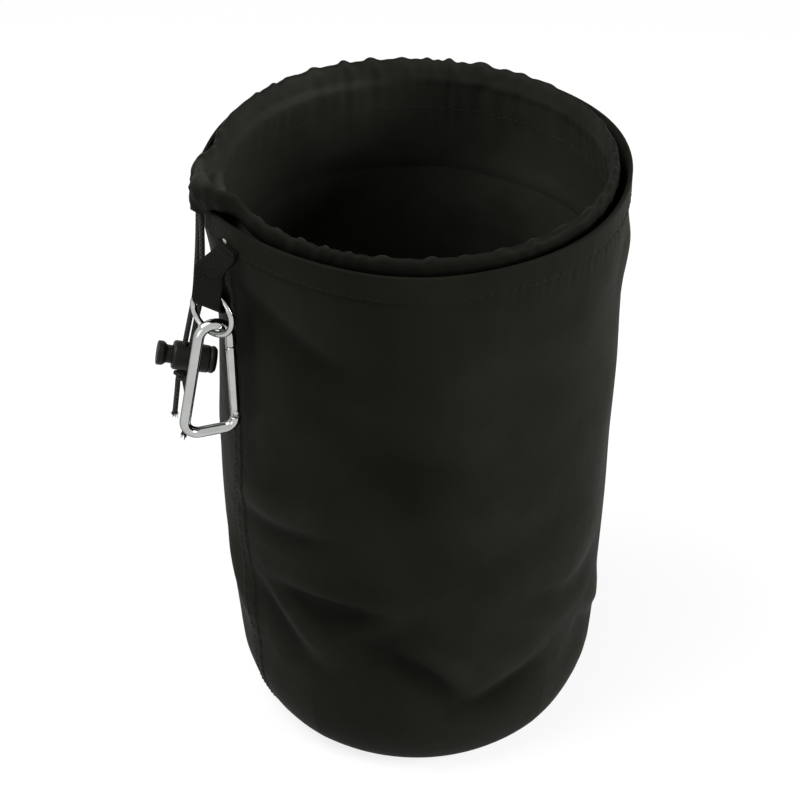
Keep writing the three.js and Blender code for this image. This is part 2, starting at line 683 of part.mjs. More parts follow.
// Gate: a round bar, forked over both tongues, that turns on its pin into the hook
const gateTop = -NOSE_LENGTH - GATE_GAP;
const gateProfile = [[0, pivot - GATE_RADIUS]];
for (let i = 1; i <= 4; i += 1) {
  const turn = (Math.PI / 2) * (i / 4);
  gateProfile.push([GATE_RADIUS * Math.sin(turn), pivot - GATE_RADIUS * Math.cos(turn)]);
}
gateProfile.push([GATE_RADIUS, gateTop - GATE_GAP], [GATE_RADIUS - GATE_GAP, gateTop], [0, gateTop]);
const forkGap = TONGUE_THICKNESS + 2 * FORK_CLEARANCE;
const forkWidth = 4 * GATE_RADIUS;
const heelFork = HEEL_RADIUS + GATE_RADIUS + 2 * GATE_GAP;
const noseFork = TONGUE_LENGTH + GATE_GAP;
const heelForkMiddle = pivot - GATE_RADIUS - GATE_GAP + heelFork / 2;
const noseForkMiddle = gateTop + GATE_GAP - noseFork / 2;
const gate = toSolid(revolve(gateProfile, 16).translate(gateLine, 0, 0))
  .subtract(toSolid(box(forkWidth, forkGap, heelFork, gateLine, 0, heelForkMiddle)))
  .subtract(toSolid(box(forkWidth, forkGap, noseFork, gateLine, 0, noseForkMiddle)))
  .subtract(pinHole(PIN_RADIUS + PIN_CLEARANCE, HOOK_WIRE * 2));
add(hook, 'hook_gate', toGeometry(gate), steel());

const pinLength = 2 * (GATE_RADIUS + PIN_HEAD);
const pin = new THREE.CylinderGeometry(PIN_RADIUS, PIN_RADIUS, pinLength, 16);
add(hook, 'gate_pin', pin.translate(gateLine, 0, pivot), steel());

export default bag;
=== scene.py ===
"""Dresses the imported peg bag: cloth wall, gathered collar, cords, lock, webbing tab and snap hook."""

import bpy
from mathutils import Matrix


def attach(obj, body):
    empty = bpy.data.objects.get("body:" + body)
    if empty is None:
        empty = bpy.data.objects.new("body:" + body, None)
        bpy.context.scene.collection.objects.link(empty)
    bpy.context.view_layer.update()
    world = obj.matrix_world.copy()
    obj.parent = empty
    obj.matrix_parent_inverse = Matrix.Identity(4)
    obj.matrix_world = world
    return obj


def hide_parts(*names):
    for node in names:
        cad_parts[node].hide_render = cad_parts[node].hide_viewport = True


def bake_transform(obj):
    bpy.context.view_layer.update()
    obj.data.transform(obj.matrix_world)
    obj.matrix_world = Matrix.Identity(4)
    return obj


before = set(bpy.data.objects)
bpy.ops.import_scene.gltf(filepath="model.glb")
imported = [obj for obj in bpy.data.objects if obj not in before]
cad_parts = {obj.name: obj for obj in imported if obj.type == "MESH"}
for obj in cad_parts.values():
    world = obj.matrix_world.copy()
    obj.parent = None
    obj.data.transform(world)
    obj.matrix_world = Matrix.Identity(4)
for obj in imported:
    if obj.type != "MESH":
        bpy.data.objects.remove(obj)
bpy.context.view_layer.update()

import math

import bmesh
import bpy
import numpy as np
from bpy.props import FloatProperty, FloatVectorProperty, IntProperty, PointerProperty
from mathutils import Vector

bl_info = {
    "name": "Peg bag dressing",
    "version": (1, 0, 0),
    "blender": (4, 5, 0),
    "location": "3D View > Sidebar > Peg Bag",
    "description": "Builds the visible cloth, cord and hardware of a standing drawstring peg bag",
    "category": "Object",
}

MM = 0.001

# Places shared with the solid model, in millimetres and degrees
EAR_ANGLE = 197.0
EAR_HALF = 12.0
EAR_RISE = 6.0
DRAG_ANGLE = 200.0
TAB_ANGLE = 213.0
SEAM_ANGLE = 211.5
LOCK_REACH = 109.8245
LOCK_HEIGHT = 216.6
LOCK_LEAN = math.radians(13.0)
LOCK_TURN = math.radians(-12.0)
CHANNEL_RADIUS = 87.15
CHANNEL_SEAM = 294.5
CHANNEL_MIDDLE = CHANNEL_SEAM + 10.5 * 0.45
EAR_MIDDLE = 96.543
EAR_REACH = EAR_MIDDLE - CHANNEL_RADIUS
EXIT_REACH = 98.193
RUN_END = 5.528
HEM_EDGE = 287.0
TAB_TOP = 286.017
TAB_REACH = 96.044
TAB_STANDOFF = 9.356
TAB_TURN = math.radians(23.5)
RING_HEIGHT = 257.5
HOOK_TOP = 251.7
HOOK_ANGLE = math.radians(198.0)


def size_property(name, description, default):
    """A property for a size in metres"""
    return FloatProperty(name=name, description=description, default=default, unit="LENGTH")


def colour_property(name, description, default):
    """A property for a colour in linear light"""
    return FloatVectorProperty(name=name, description=description, default=default, subtype="COLOR")


class PegBagSizes(bpy.types.PropertyGroup):
    """Sizes of the visible pieces"""

    bag_height: size_property("Height", "Base to the rim of the wall", 0.300)
    cloth: size_property("Cloth", "Thickness of the wall", 0.0012)
    gathers: IntProperty(name="Gathers", description="Gathers round the collar", default=38, min=8)
    gather_rise: size_property("Gather height", "Rise of the collar edge at a gather", 0.0006)
    cord_diameter: size_property("Cord", "Thickness of the drawcord", 0.0025)
    stitch_pitch: size_property("Stitch spacing", "From stitch to stitch on the hem", 0.0036)
    stitch_length: size_property("Stitch length", "Length of one stitch", 0.0027)
    thread: size_property("Thread", "Thickness of the sewing thread", 0.0005)
    crease_depth: FloatProperty(
        name="Creases", description="Strength of the folds in the wall", default=1.5, subtype="FACTOR",
    )


class PegBagColours(bpy.types.PropertyGroup):
    """Colours of the finishes"""

    wall: colour_property("Wall cloth", "Coated polyester", (0.0066, 0.0069, 0.0050))
    collar: colour_property("Collar cloth", "Top edge of the collar", (0.0048, 0.0050, 0.0038))
    # Painted light: the inside colour is about three times lighter than the wall cloth and stands in for
    # light falling into the mouth of the bag
    inside_painted_light: colour_property("Inside", "Inner side of the cloth", (0.0180, 0.0186, 0.0148))
    cord: colour_property("Cord", "Braided drawcord", (0.0150, 0.0155, 0.0115))
    webbing: colour_property("Webbing", "Woven tab", (0.0048, 0.0050, 0.0037))
    thread: colour_property("Thread", "Sewing thread", (0.0062, 0.0065, 0.0050))
    plastic: colour_property("Lock", "Moulded plastic", (0.0066, 0.0069, 0.0052))
    steel: colour_property("Steel", "Plated steel", (0.44, 0.45, 0.44))


# Small helpers for shapes
def polar(radius, angle, height):
    turn = np.radians(angle)
    return np.stack(np.broadcast_arrays(radius * np.cos(turn), radius * np.sin(turn), height), axis=-1)


def smooth(value, low, high):
    t = np.clip((np.asarray(value, dtype=float) - low) / (high - low), 0.0, 1.0)
    return t * t * (3 - 2 * t)


def from_angle(angle, middle):
    return (np.asarray(angle, dtype=float) - middle + 180.0) % 360.0 - 180.0


def distances(points):
    """How far along a line of points each one lies"""
    return np.concatenate([[0], np.cumsum(np.linalg.norm(np.diff(points, axis=0), axis=1))])


def add_object(name, mesh, material, shade_smooth=True):
    if shade_smooth:
        mesh.polygons.foreach_set("use_smooth", [True] * len(mesh.polygons))
    mesh.materials.clear()
    mesh.materials.append(material)
    piece = bpy.data.objects.new(name, mesh)
    bpy.context.scene.collection.objects.link(piece)
    return piece


def grid_mesh(name, points, close_rows=False, close_cols=False, uv=None):
    """A mesh of quads from rows and columns of points in metres"""
    rows, cols = points.shape[:2]
    row_count = rows if close_rows else rows - 1
    col_count = cols if close_cols else cols - 1
    i, j = np.meshgrid(np.arange(row_count), np.arange(col_count), indexing="ij")
    i2, j2 = (i + 1) % rows, (j + 1) % cols
    faces = np.stack([i * cols + j, i * cols + j2, i2 * cols + j2, i2 * cols + j], axis=-1).reshape(-1, 4)
    mesh = bpy.data.meshes.new(name)
    mesh.from_pydata(points.reshape(-1, 3).tolist(), [], faces.tolist())
    if uv is not None:
        u, v = uv
        corners_u = np.stack([u[j], u[j + 1], u[j + 1], u[j]], axis=-1)
        corners_v = np.stack([v[i], v[i], v[i + 1], v[i + 1]], axis=-1)
        layer = mesh.uv_layers.new(name="weave")
        layer.data.foreach_set("uv", np.stack([corners_u, corners_v], axis=-1).reshape(-1).astype(np.float32))
    mesh.update()
    return mesh


def mark(mesh, name, share):
    """Keeps a number on each point, such as how far it belongs to the inner side of the cloth"""
    layer = mesh.attributes.new(name, "FLOAT", "POINT")
    layer.data.foreach_set("value", np.asarray(share, dtype=np.float32).reshape(-1))


def outward(mesh):
    """Turns a closed mesh so that its faces point out"""
    points = np.empty(len(mesh.vertices) * 3)
    mesh.vertices.foreach_get("co", points)
    points = points.reshape(-1, 3)
    mesh.calc_loop_triangles()
    corners = np.empty(len(mesh.loop_triangles) * 3, dtype=np.int32)
    mesh.loop_triangles.foreach_get("vertices", corners)
    a, b, c = points[corners.reshape(-1, 3)].transpose(1, 0, 2)
    total = np.einsum("ij,ij->i", a, np.cross(b, c)).sum()
    if total < 0:
        mesh.flip_normals()
    return mesh


def fill_ends(mesh):
    """Closes the open ends of a mesh"""
    build = bmesh.new()
    build.from_mesh(mesh)
    bmesh.ops.holes_fill(build, edges=[e for e in build.edges if e.is_boundary], sides=0)
    build.to_mesh(mesh)
    build.free()


def apply_modifiers(piece):
    """Gives an object the plain mesh that its modifiers make"""
    graph = bpy.context.evaluated_depsgraph_get()
    result = bpy.data.meshes.new_from_object(piece.evaluated_get(graph))
    piece.modifiers.clear()
    piece.data = result
    return result


def spline_through(points, steps):
    """A centripetal curve through the points, with even steps along its length"""
    p = np.asarray(points, dtype=float)
    p = np.vstack([2 * p[0] - p[1], p, 2 * p[-1] - p[-2]])
    fine = []
    for k in range(1, len(p) - 2):
        p0, p1, p2, p3 = p[k - 1], p[k], p[k + 1], p[k + 2]
        t1 = np.linalg.norm(p1 - p0) ** 0.5
        t2 = t1 + np.linalg.norm(p2 - p1) ** 0.5
        t3 = t2 + np.linalg.norm(p3 - p2) ** 0.5
        t = np.linspace(t1, t2, 24, endpoint=False)[:, None]
        a1 = (t1 - t) / t1 * p0 + t / t1 * p1
        a2 = (t2 - t) / (t2 - t1) * p1 + (t - t1) / (t2 - t1) * p2
        a3 = (t3 - t) / (t3 - t2) * p2 + (t - t2) / (t3 - t2) * p3
        b1 = (t2 - t) / t2 * a1 + t / t2 * a2
        b2 = (t3 - t) / (t3 - t1) * a2 + (t - t1) / (t3 - t1) * a3
        fine.append((t2 - t) / (t2 - t1) * b1 + (t - t1) / (t2 - t1) * b2)
    fine.append(p[-2][None, :])
    fine = np.vstack(fine)
    along = distances(fine)
    at = np.linspace(0, along[-1], steps)
    return np.stack([np.interp(at, along, fine[:, k]) for k in range(fine.shape[1])], axis=-1)


def tube_mesh(name, path, radius, sides=14, caps=True):
    """A round tube along a path in metres, with the distance along it as its second map axis"""
    path = np.asarray(path, dtype=float)
    tangents = np.gradient(path, axis=0)
    tangents /= np.linalg.norm(tangents, axis=1)[:, None]
    start = np.array([0.0, 1.0, 0.0]) if abs(tangents[0][1]) < 0.9 else np.array([1.0, 0.0, 0.0])
    normal = np.cross(tangents[0], start)
    normal /= np.linalg.norm(normal)
    rings = []
    radius = np.broadcast_to(radius, len(path))
    turns = np.linspace(0, 2 * np.pi, sides, endpoint=False)
    for point, tangent, size in zip(path, tangents, radius):
        normal = normal - tangent * np.dot(normal, tangent)
        normal /= np.linalg.norm(normal)
        side = np.cross(tangent, normal)
        rings.append(point + size * (np.cos(turns)[:, None] * normal + np.sin(turns)[:, None] * side))
    along = distances(path)
    mesh = grid_mesh(name, np.array(rings), close_cols=True, uv=(np.linspace(0, 1, sides + 1), along))
    if caps:
        fill_ends(mesh)
    return outward(mesh)


def lathe_points(profile, segments):
    """Rings of a profile of (radius, height) points about +Z, in millimetres"""
    turns = np.linspace(0, 360, segments, endpoint=False)
    return np.array([polar(r, turns, z) for r, z in profile])


def lathe_mesh(name, profile, segments):
    """A closed turned shape whose profile starts and ends on the axis"""
    mesh = grid_mesh(name, lathe_points(profile, segments) * MM, close_cols=True)
    build = bmesh.new()
    build.from_mesh(mesh)
    bmesh.ops.remove_doubles(build, verts=build.verts, dist=1e-7)
    bmesh.ops.recalc_face_normals(build, faces=build.faces)
    build.to_mesh(mesh)
    build.free()
    return outward(mesh)


def rounded(profile, size, steps=4):
    """Rounds the inner corners of a profile"""
    points = [np.asarray(p, dtype=float) for p in profile]
    out = [points[0]]
    for before, corner, after in zip(points, points[1:], points[2:]):
        reach_in = min(size, 0.45 * np.linalg.norm(before - corner))
        reach_out = min(size, 0.45 * np.linalg.norm(after - corner))
        a = corner + (before - corner) / np.linalg.norm(before - corner) * reach_in
        b = corner + (after - corner) / np.linalg.norm(after - corner) * reach_out
        for t in np.linspace(0, 1, steps + 1):
            out.append((1 - t) ** 2 * a + 2 * t * (1 - t) * corner + t * t * b)
    out.append(points[-1])
    return [tuple(p) for p in out]


def place(mesh, matrix_columns, origin):
    """Moves a mesh's own points: the columns say where its x, y and z axes go"""
    points = np.empty(len(mesh.vertices) * 3)
    mesh.vertices.foreach_get("co", points)
    moved = points.reshape(-1, 3) @ np.array(matrix_columns, dtype=float) + np.array(origin, dtype=float)
    mesh.vertices.foreach_set("co", moved.reshape(-1))
    mesh.update()
    return mesh


def cut(piece, cutter):
    """Cuts one object out of another and keeps a plain mesh"""
    modifier = piece.modifiers.new("cut", "BOOLEAN")
    modifier.operation = "DIFFERENCE"
    modifier.solver = "EXACT"
    modifier.object = cutter
    apply_modifiers(piece)
    bpy.data.objects.remove(cutter)
    return piece


def soften_edges(piece, width, angle=35.0, segments=2):
    """Bevels the sharp edges and keeps a plain mesh with smooth shading"""
    modifier = piece.modifiers.new("edge", "BEVEL")
    modifier.width = width
    modifier.segments = segments
    modifier.limit_method = "ANGLE"
    modifier.angle_limit = math.radians(angle)
    modifier.harden_normals = False
    result = apply_modifiers(piece)
    result.polygons.foreach_set("use_smooth", [True] * len(result.polygons))
    result.set_sharp_from_angle(angle=math.radians(angle))
    return piece


# Materials
class Nodes:
    """A short way to write a material's node tree"""

    def __init__(self, name):
        self.material = bpy.data.materials.new(name)
        self.material.use_nodes = True
        self.tree = self.material.node_tree
        self.tree.nodes.clear()
        self.out = self.tree.nodes.new("ShaderNodeOutputMaterial")

    def add(self, kind, inputs=None, **settings):
        node = self.tree.nodes.new("ShaderNode" + kind)
        for key, value in settings.items():
            setattr(node, key, value)
        for key, value in (inputs or {}).items():
            if isinstance(value, bpy.types.NodeSocket):
                self.tree.links.new(value, node.inputs[key])
            else:
                node.inputs[key].default_value = value
        return node

    def noise(self, vector, scale, detail, **more):
        inputs = {"Vector": vector, "Scale": scale, "Detail": detail, **more}
        return self.add("TexNoise", inputs).outputs["Fac"]

    def times(self, a, b):
        """One colour multiplied by another or by a number"""
        node = self.add("Mix", {"Factor": 1.0, 6: a, 7: b}, data_type="RGBA", blend_type="MULTIPLY")
        return node.outputs[2]

    def ramp(self, factor, low, high, low_colour, high_colour):
        node = self.add("ValToRGB", {"Fac": factor})
        node.color_ramp.elements[0].position = low
        node.color_ramp.elements[1].position = high
        node.color_ramp.elements[0].color = (*low_colour, 1)
        node.color_ramp.elements[1].color = (*high_colour, 1)
        return node.outputs["Color"]

    def spread(self, factor, low, high):
        node = self.add("MapRange", {"Value": factor, "To Min": low, "To Max": high})
        return node.outputs["Result"]

    def maths(self, operation, a, b=0.0):
        node = self.add("Math", operation=operation)
        for socket, value in zip(node.inputs, (a, b)):
            if isinstance(value, bpy.types.NodeSocket):
                self.tree.links.new(value, socket)
            else:
                socket.default_value = value
        return node.outputs[0]

    def bump(self, height, strength, distance, normal=None):
        inputs = {"Height": height, "Strength": strength, "Distance": distance}
        if normal is not None:
            inputs["Normal"] = normal
        return self.add("Bump", inputs).outputs["Normal"]

    def finish(self, **inputs):
        shader = self.add("BsdfPrincipled")
        for key, value in inputs.items():
            socket = shader.inputs[key.replace("_", " ")]
            if isinstance(value, bpy.types.NodeSocket):
                self.tree.links.new(value, socket)
            else:
                socket.default_value = value
        self.tree.links.new(shader.outputs[0], self.out.inputs[0])
        return self.material


def shade(colour, amount):
    return tuple(min(1.0, channel * amount) for channel in colour)


def cloth_finish(name, colour, pitch, roughness, sheen, wrinkle, specular, inside):
    """Plain woven coated cloth: weave along the map, painted highlight on the crease ridges and painted shade
    in the crease valleys, faint dust, and a lighter colour inside as painted light
    """
    n = Nodes(name)
    at = n.add("TexCoord")
    weave = n.add("Mapping", {"Vector": at.outputs["UV"], "Scale": (1 / pitch, 1 / pitch, 1)}).outputs[0]
    parts = n.add("SeparateXYZ", {"Vector": weave})
    warp = n.maths("ABSOLUTE", n.maths("SINE", n.maths("MULTIPLY", parts.outputs["X"], math.pi)))
    weft = n.maths("ABSOLUTE", n.maths("SINE", n.maths("MULTIPLY", parts.outputs["Y"], math.pi)))
    over = n.add("TexChecker", {"Vector": weave, "Scale": 1.0}).outputs["Fac"]
    thread = n.add("Mix", {0: over, 2: warp, 3: weft}, data_type="FLOAT").outputs[0]
    big = n.noise(at.outputs["Object"], 26.0, 3.0, Roughness=0.5)
    fine = n.noise(at.outputs["Object"], 130.0, 4.0, Roughness=0.6)
    specks = n.noise(at.outputs["Object"], 900.0, 2.0)
    # Painted light: the inner side of the cloth gets the lighter inside colour
    side = n.add("Attribute", attribute_name="inside").outputs["Fac"]
    ground = n.add("Mix", {"Factor": side, 6: (*colour, 1), 7: (*inside, 1)}, data_type="RGBA").outputs[2]
    worn = n.ramp(big, 0.28, 0.74, (0.78, 0.78, 0.78), (1.28, 1.28, 1.28))
    tone = n.times(ground, worn)
    # Painted highlight and shade: the cloth is lighter on the crease ridges and darker in the crease valleys
    crease_painted_light = n.add("Attribute", attribute_name="crease_painted_light").outputs["Fac"]
    crease_painted_light = n.maths("MAXIMUM", n.maths("ADD", n.maths("MULTIPLY", crease_painted_light, 0.50), 1.0), 0.5)
    tone = n.times(tone, crease_painted_light)
    dust = n.ramp(specks, 0.66, 0.82, (0, 0, 0), shade(colour, 1.6))
    blend = n.add("Mix", {"Factor": 0.35, 6: tone, 7: dust}, data_type="RGBA", blend_type="ADD").outputs[2]
    normal = n.bump(big, 0.30 * wrinkle, 0.004)
    normal = n.bump(fine, 0.22 * wrinkle, 0.0012, normal)
    normal = n.bump(thread, 0.14, 0.00016, normal)
    grain = n.maths("ADD", n.maths("MULTIPLY", fine, 0.6), n.maths("MULTIPLY", thread, 0.4))
    rough = n.spread(grain, roughness + 0.12, roughness - 0.08)
    return n.finish(
        Base_Color=blend, Roughness=rough, Normal=normal, Sheen_Weight=sheen, Sheen_Roughness=0.45,
        Sheen_Tint=(0.9, 0.92, 0.80, 1.0), Specular_IOR_Level=specular, Specular_Tint=(0.97, 1.0, 0.82, 1.0),
    )


def braid_finish(name, colour, pitch, turns):
    """Braided cord: two sets of strands crossing along the length"""
    n = Nodes(name)
    at = n.add("TexCoord")
    parts = n.add("SeparateXYZ", {"Vector": at.outputs["UV"]})
    round_it = n.maths("MULTIPLY", parts.outputs["X"], 2 * math.pi * turns)
    along = n.maths("MULTIPLY", parts.outputs["Y"], 2 * math.pi / pitch)
    left = n.maths("SINE", n.maths("ADD", round_it, along))
    right = n.maths("SINE", n.maths("SUBTRACT", round_it, along))
    strands = n.maths("MAXIMUM", left, right)
    fuzz = n.noise(at.outputs["Object"], 2600.0, 3.0)
    tone = n.ramp(strands, 0.1, 0.95, shade(colour, 0.5), shade(colour, 1.5))
    normal = n.bump(strands, 0.7, 0.00035)
    normal = n.bump(fuzz, 0.3, 0.0002, normal)
    rough = n.spread(fuzz, 0.62, 0.85)
    return n.finish(
        Base_Color=tone, Roughness=rough, Normal=normal, Sheen_Weight=0.05, Sheen_Roughness=0.5,
        Specular_IOR_Level=0.15,
    )


def webbing_finish(name, colour):
    """Flat woven webbing: ribs across, fine warp along"""
    n = Nodes(name)
    at = n.add("TexCoord")
    parts = n.add("SeparateXYZ", {"Vector": at.outputs["UV"]})
    rib = n.maths("SINE", n.maths("MULTIPLY", parts.outputs["Y"], 2 * math.pi / 0.0011))
    warp = n.maths("SINE", n.maths("MULTIPLY", parts.outputs["X"], 2 * math.pi / 0.0009))
    weave = n.maths("MULTIPLY", rib, warp)
    fuzz = n.noise(at.outputs["Object"], 1500.0, 3.0)
    mixed = n.maths("ADD", n.maths("MULTIPLY", weave, 0.35), fuzz)
    tone = n.ramp(mixed, 0.2, 0.9, shade(colour, 0.6), shade(colour, 1.5))
    normal = n.bump(weave, 0.6, 0.0003)
    normal = n.bump(fuzz, 0.2, 0.0002, normal)
    rough = n.spread(fuzz, 0.6, 0.8)
    return n.finish(Base_Color=tone, Roughness=rough, Normal=normal, Specular_IOR_Level=0.04)


def plastic_finish(name, colour):
    """Moulded plastic with a fine spark-eroded surface"""
    n = Nodes(name)
    at = n.add("TexCoord")
    grain = n.noise(at.outputs["Object"], 1800.0, 4.0, Roughness=0.65)
    scuff = n.noise(at.outputs["Object"], 220.0, 5.0)
    tone = n.ramp(scuff, 0.35, 0.8, shade(colour, 0.85), shade(colour, 1.4))
    normal = n.bump(grain, 0.18, 0.00015)
    rough = n.spread(scuff, 0.32, 0.52)
    return n.finish(Base_Color=tone, Roughness=rough, Normal=normal, Specular_IOR_Level=0.12)


def steel_finish(name, colour):
    """Plated steel: bright, with faint polishing marks and dull spots"""
    n = Nodes(name)
    at = n.add("TexCoord")
    marks = n.add("Mapping", {"Vector": at.outputs["Object"], "Scale": (300.0, 300.0, 2600.0)}).outputs[0]
    polish = n.noise(marks, 1.0, 3.0)
    dull = n.noise(at.outputs["Object"], 160.0, 4.0)
    tone = n.ramp(dull, 0.35, 0.8, shade(colour, 0.93), shade(colour, 1.08))
    normal = n.bump(polish, 0.05, 0.0001)
    rough = n.maths("ADD", n.spread(dull, 0.04, 0.09), n.maths("MULTIPLY", polish, 0.03))
    return n.finish(
        Base_Color=tone, Metallic=1.0, Roughness=rough, Normal=normal, Specular_Tint=(0.05, 0.05, 0.05, 1.0),
    )


def thread_finish(name, colour):
    n = Nodes(name)
    at = n.add("TexCoord")
    lay = {"Vector": at.outputs["Object"], "Scale": 900.0, "Distortion": 1.0}
    twist = n.add("TexWave", lay, bands_direction="DIAGONAL").outputs["Fac"]
    tone = n.ramp(twist, 0.2, 0.9, shade(colour, 0.7), shade(colour, 1.3))
    normal = n.bump(twist, 0.3, 0.0001)
    return n.finish(Base_Color=tone, Roughness=0.55, Normal=normal, Specular_IOR_Level=0.08)


FINISHES = {}


def finish_of(name):
    return FINISHES[name]


class PEGBAG_OT_finishes(bpy.types.Operator):
    """Make the cloth, cord, plastic, steel and thread materials"""

    bl_idname = "pegbag.finishes"
    bl_label = "Finishes"

    def execute(self, context):
        colours = context.scene.peg_bag_colours
        # Painted light: the lighter inside colour goes to the inner side of both cloth finishes
        inside = tuple(colours.inside_painted_light)
        FINISHES["wall"] = cloth_finish(
            "wall_cloth", tuple(colours.wall), 0.00055, 0.52, 0.002, 1.0, 0.012, inside,
        )
        FINISHES["collar"] = cloth_finish(
            "collar_cloth", tuple(colours.collar), 0.00045, 0.50, 0.003, 0.8, 0.02, inside,
        )
        FINISHES["cord"] = braid_finish("drawcord_braid", tuple(colours.cord), 0.0024, 4)
        FINISHES["webbing"] = webbing_finish("tab_webbing", tuple(colours.webbing))
        FINISHES["plastic"] = plastic_finish("lock_plastic", tuple(colours.plastic))
        FINISHES["steel"] = steel_finish("hook_steel", tuple(colours.steel))
        FINISHES["thread"] = thread_finish("sewing_thread", tuple(colours.thread))
        # Painted light: the thread on the inner side of the collar takes the lighter inside colour
        FINISHES["thread_inside"] = thread_finish("inside_thread_painted_light", tuple(colours.inside_painted_light))
        FINISHES["tack"] = thread_finish("bar_tack_thread", shade(tuple(colours.thread), 45.0))
        return {"FINISHED"}


# Stage
class PEGBAG_OT_stage(bpy.types.Operator):
    """Make the camera, the floor and the light"""

    bl_idname = "pegbag.stage"
    bl_label = "Stage"

    def execute(self, context):
        scene = context.scene
        scene.view_settings.view_transform = "Standard"
        camera_data = bpy.data.cameras.new("camera")
        camera_data.sensor_width = 36.0
        camera_data.lens = 88.84
        camera_data.shift_x = -0.0155
        camera_data.shift_y = 0.0011
        camera_data.clip_start = 0.01
        camera_data.clip_end = 50.0
        camera = bpy.data.objects.new("camera", camera_data)
        camera.location = (-0.00207, -0.7607, 0.7404)
        camera.rotation_euler = (math.radians(52.985), 0.0, 0.0)
        scene.collection.objects.link(camera)
        scene.camera = camera

        floor_mesh = bpy.data.meshes.new("floor")
        reach, sunk = 6, -0.0004
        corners = [(-reach, -reach, sunk), (reach, -reach, sunk), (reach, reach, sunk), (-reach, reach, sunk)]
        floor_mesh.from_pydata(corners, [], [(0, 1, 2, 3)])
        n = Nodes("floor_paper")
        paths = n.add("LightPath")
        diffuse = n.add("BsdfDiffuse", {"Color": (0.93, 0.93, 0.925, 1)})
        glow = n.add("Emission", {"Color": (1, 1, 1, 1), "Strength": 1.0})
        seen = n.maths("MAXIMUM", paths.outputs["Is Camera Ray"], paths.outputs["Is Glossy Ray"])
        seen = n.maths("MULTIPLY", n.maths("MAXIMUM", seen, paths.outputs["Is Transmission Ray"]), 0.80)
        mixed = n.add("MixShader", {0: seen, 1: diffuse.outputs[0], 2: glow.outputs[0]})
        n.tree.links.new(mixed.outputs[0], n.out.inputs[0])
        floor = add_object("floor", floor_mesh, n.material, shade_smooth=False)

        world = bpy.data.worlds.new("studio")
        scene.world = world
        world.use_nodes = True
        tree = world.node_tree
        tree.nodes.clear()
        out = tree.nodes.new("ShaderNodeOutputWorld")
        back = tree.nodes.new("ShaderNodeBackground")
        back.inputs["Color"].default_value = (1, 1, 1, 1)
        path = tree.nodes.new("ShaderNodeLightPath")
        bright = tree.nodes.new("ShaderNodeMath")
        bright.operation = "MAXIMUM"
        tree.links.new(path.outputs["Is Camera Ray"], bright.inputs[0])
        tree.links.new(path.outputs["Is Glossy Ray"], bright.inputs[1])
        both = tree.nodes.new("ShaderNodeMath")
        both.operation = "MAXIMUM"
        tree.links.new(bright.outputs[0], both.inputs[0])
        tree.links.new(path.outputs["Is Transmission Ray"], both.inputs[1])
        level = tree.nodes.new("ShaderNodeMapRange")
        level.inputs["To Min"].default_value = 0.30
        level.inputs["To Max"].default_value = 1.0
        tree.links.new(both.outputs[0], level.inputs["Value"])
        tree.links.new(level.outputs[0], back.inputs["Strength"])
        tree.links.new(back.outputs[0], out.inputs[0])

        for name, place_at, aim, size, power in (
            ("key", (1.30, -0.50, 0.62), (0, 0, 0.18), 0.7, 31.0),
            ("fill", (-0.75, -1.05, 0.30), (0, 0, 0.06), 0.8, 2.6),
            ("top", (-0.65, -0.15, 1.3), (0, 0, 0.25), 0.9, 21.5),
        ):
            lamp = bpy.data.lights.new(name, "AREA")
            lamp.size = size
            lamp.energy = power
            light = bpy.data.objects.new(name, lamp)
            light.location = place_at
            light.rotation_euler = (Vector(aim) - Vector(place_at)).to_track_quat("-Z", "Y").to_euler()
            scene.collection.objects.link(light)
        return {"FINISHED"}


# Drawcords
def on_cord(along, sideways):
    """A point on the straight stretch of cord through the lock, in the turned frame of the ear"""
    inward = math.sin(LOCK_LEAN) * along + math.cos(LOCK_LEAN) * sideways
    height = LOCK_HEIGHT + math.cos(LOCK_LEAN) * along - math.sin(LOCK_LEAN) * sideways
    return (LOCK_REACH - inward * math.cos(LOCK_TURN), -inward * math.sin(LOCK_TURN), height)


def from_ear(points):
    turn = math.radians(EAR_ANGLE)
    p = np.asarray(points, dtype=float)
    return np.stack([
        p[:, 0] * math.cos(turn) - p[:, 1] * math.sin(turn),
        p[:, 0] * math.sin(turn) + p[:, 1] * math.cos(turn),
        p[:, 2],
    ], axis=-1)


TAIL_ROUTES = {
    1: [(-0.3, 0.3, -6), (-0.4, 0.6, -11), (0, 0.9, -22), (2.6, 1.2, -30)],
    -1: [(0.8, -0.2, -6), (1.7, -0.4, -12), (2.7, -0.6, -19)],
}


def cord_route(side):
    """From the channel down through the lock and the knot to the frayed end"""
    half = side * 1.5
    exit_height = CHANNEL_MIDDLE + EAR_RISE
    turn_in = EAR_MIDDLE * math.cos(math.radians(RUN_END)) - EXIT_REACH
    bend = []
    for angle in (90, 72, 50, 25, 0):
        out, up = 1 - math.cos(math.radians(angle)), math.sin(math.radians(angle)) - 1
        bend.append((EXIT_REACH + turn_in * out, side * (2.2 + 6.8 * out), exit_height + 6.8 * up))
    straight = [on_cord(34 * t, half) for t in (1, 0.7, 0.35, 0)]
    top, foot = np.array(bend[-1]), np.array(straight[0])
    fall = [foot + (top - foot) * t - [0.6 * math.sin(math.pi * t), 0, 0] for t in (0.77, 0.52, 0.27)]
    start = on_cord(-12.8, half)
    tail = [start] + [(start[0] + x, start[1] + y, start[2] + z) for x, y, z in TAIL_ROUTES[side]]
    return spline_through(from_ear(bend + fall + straight + [on_cord(-7, half)] + tail), 150) * MM


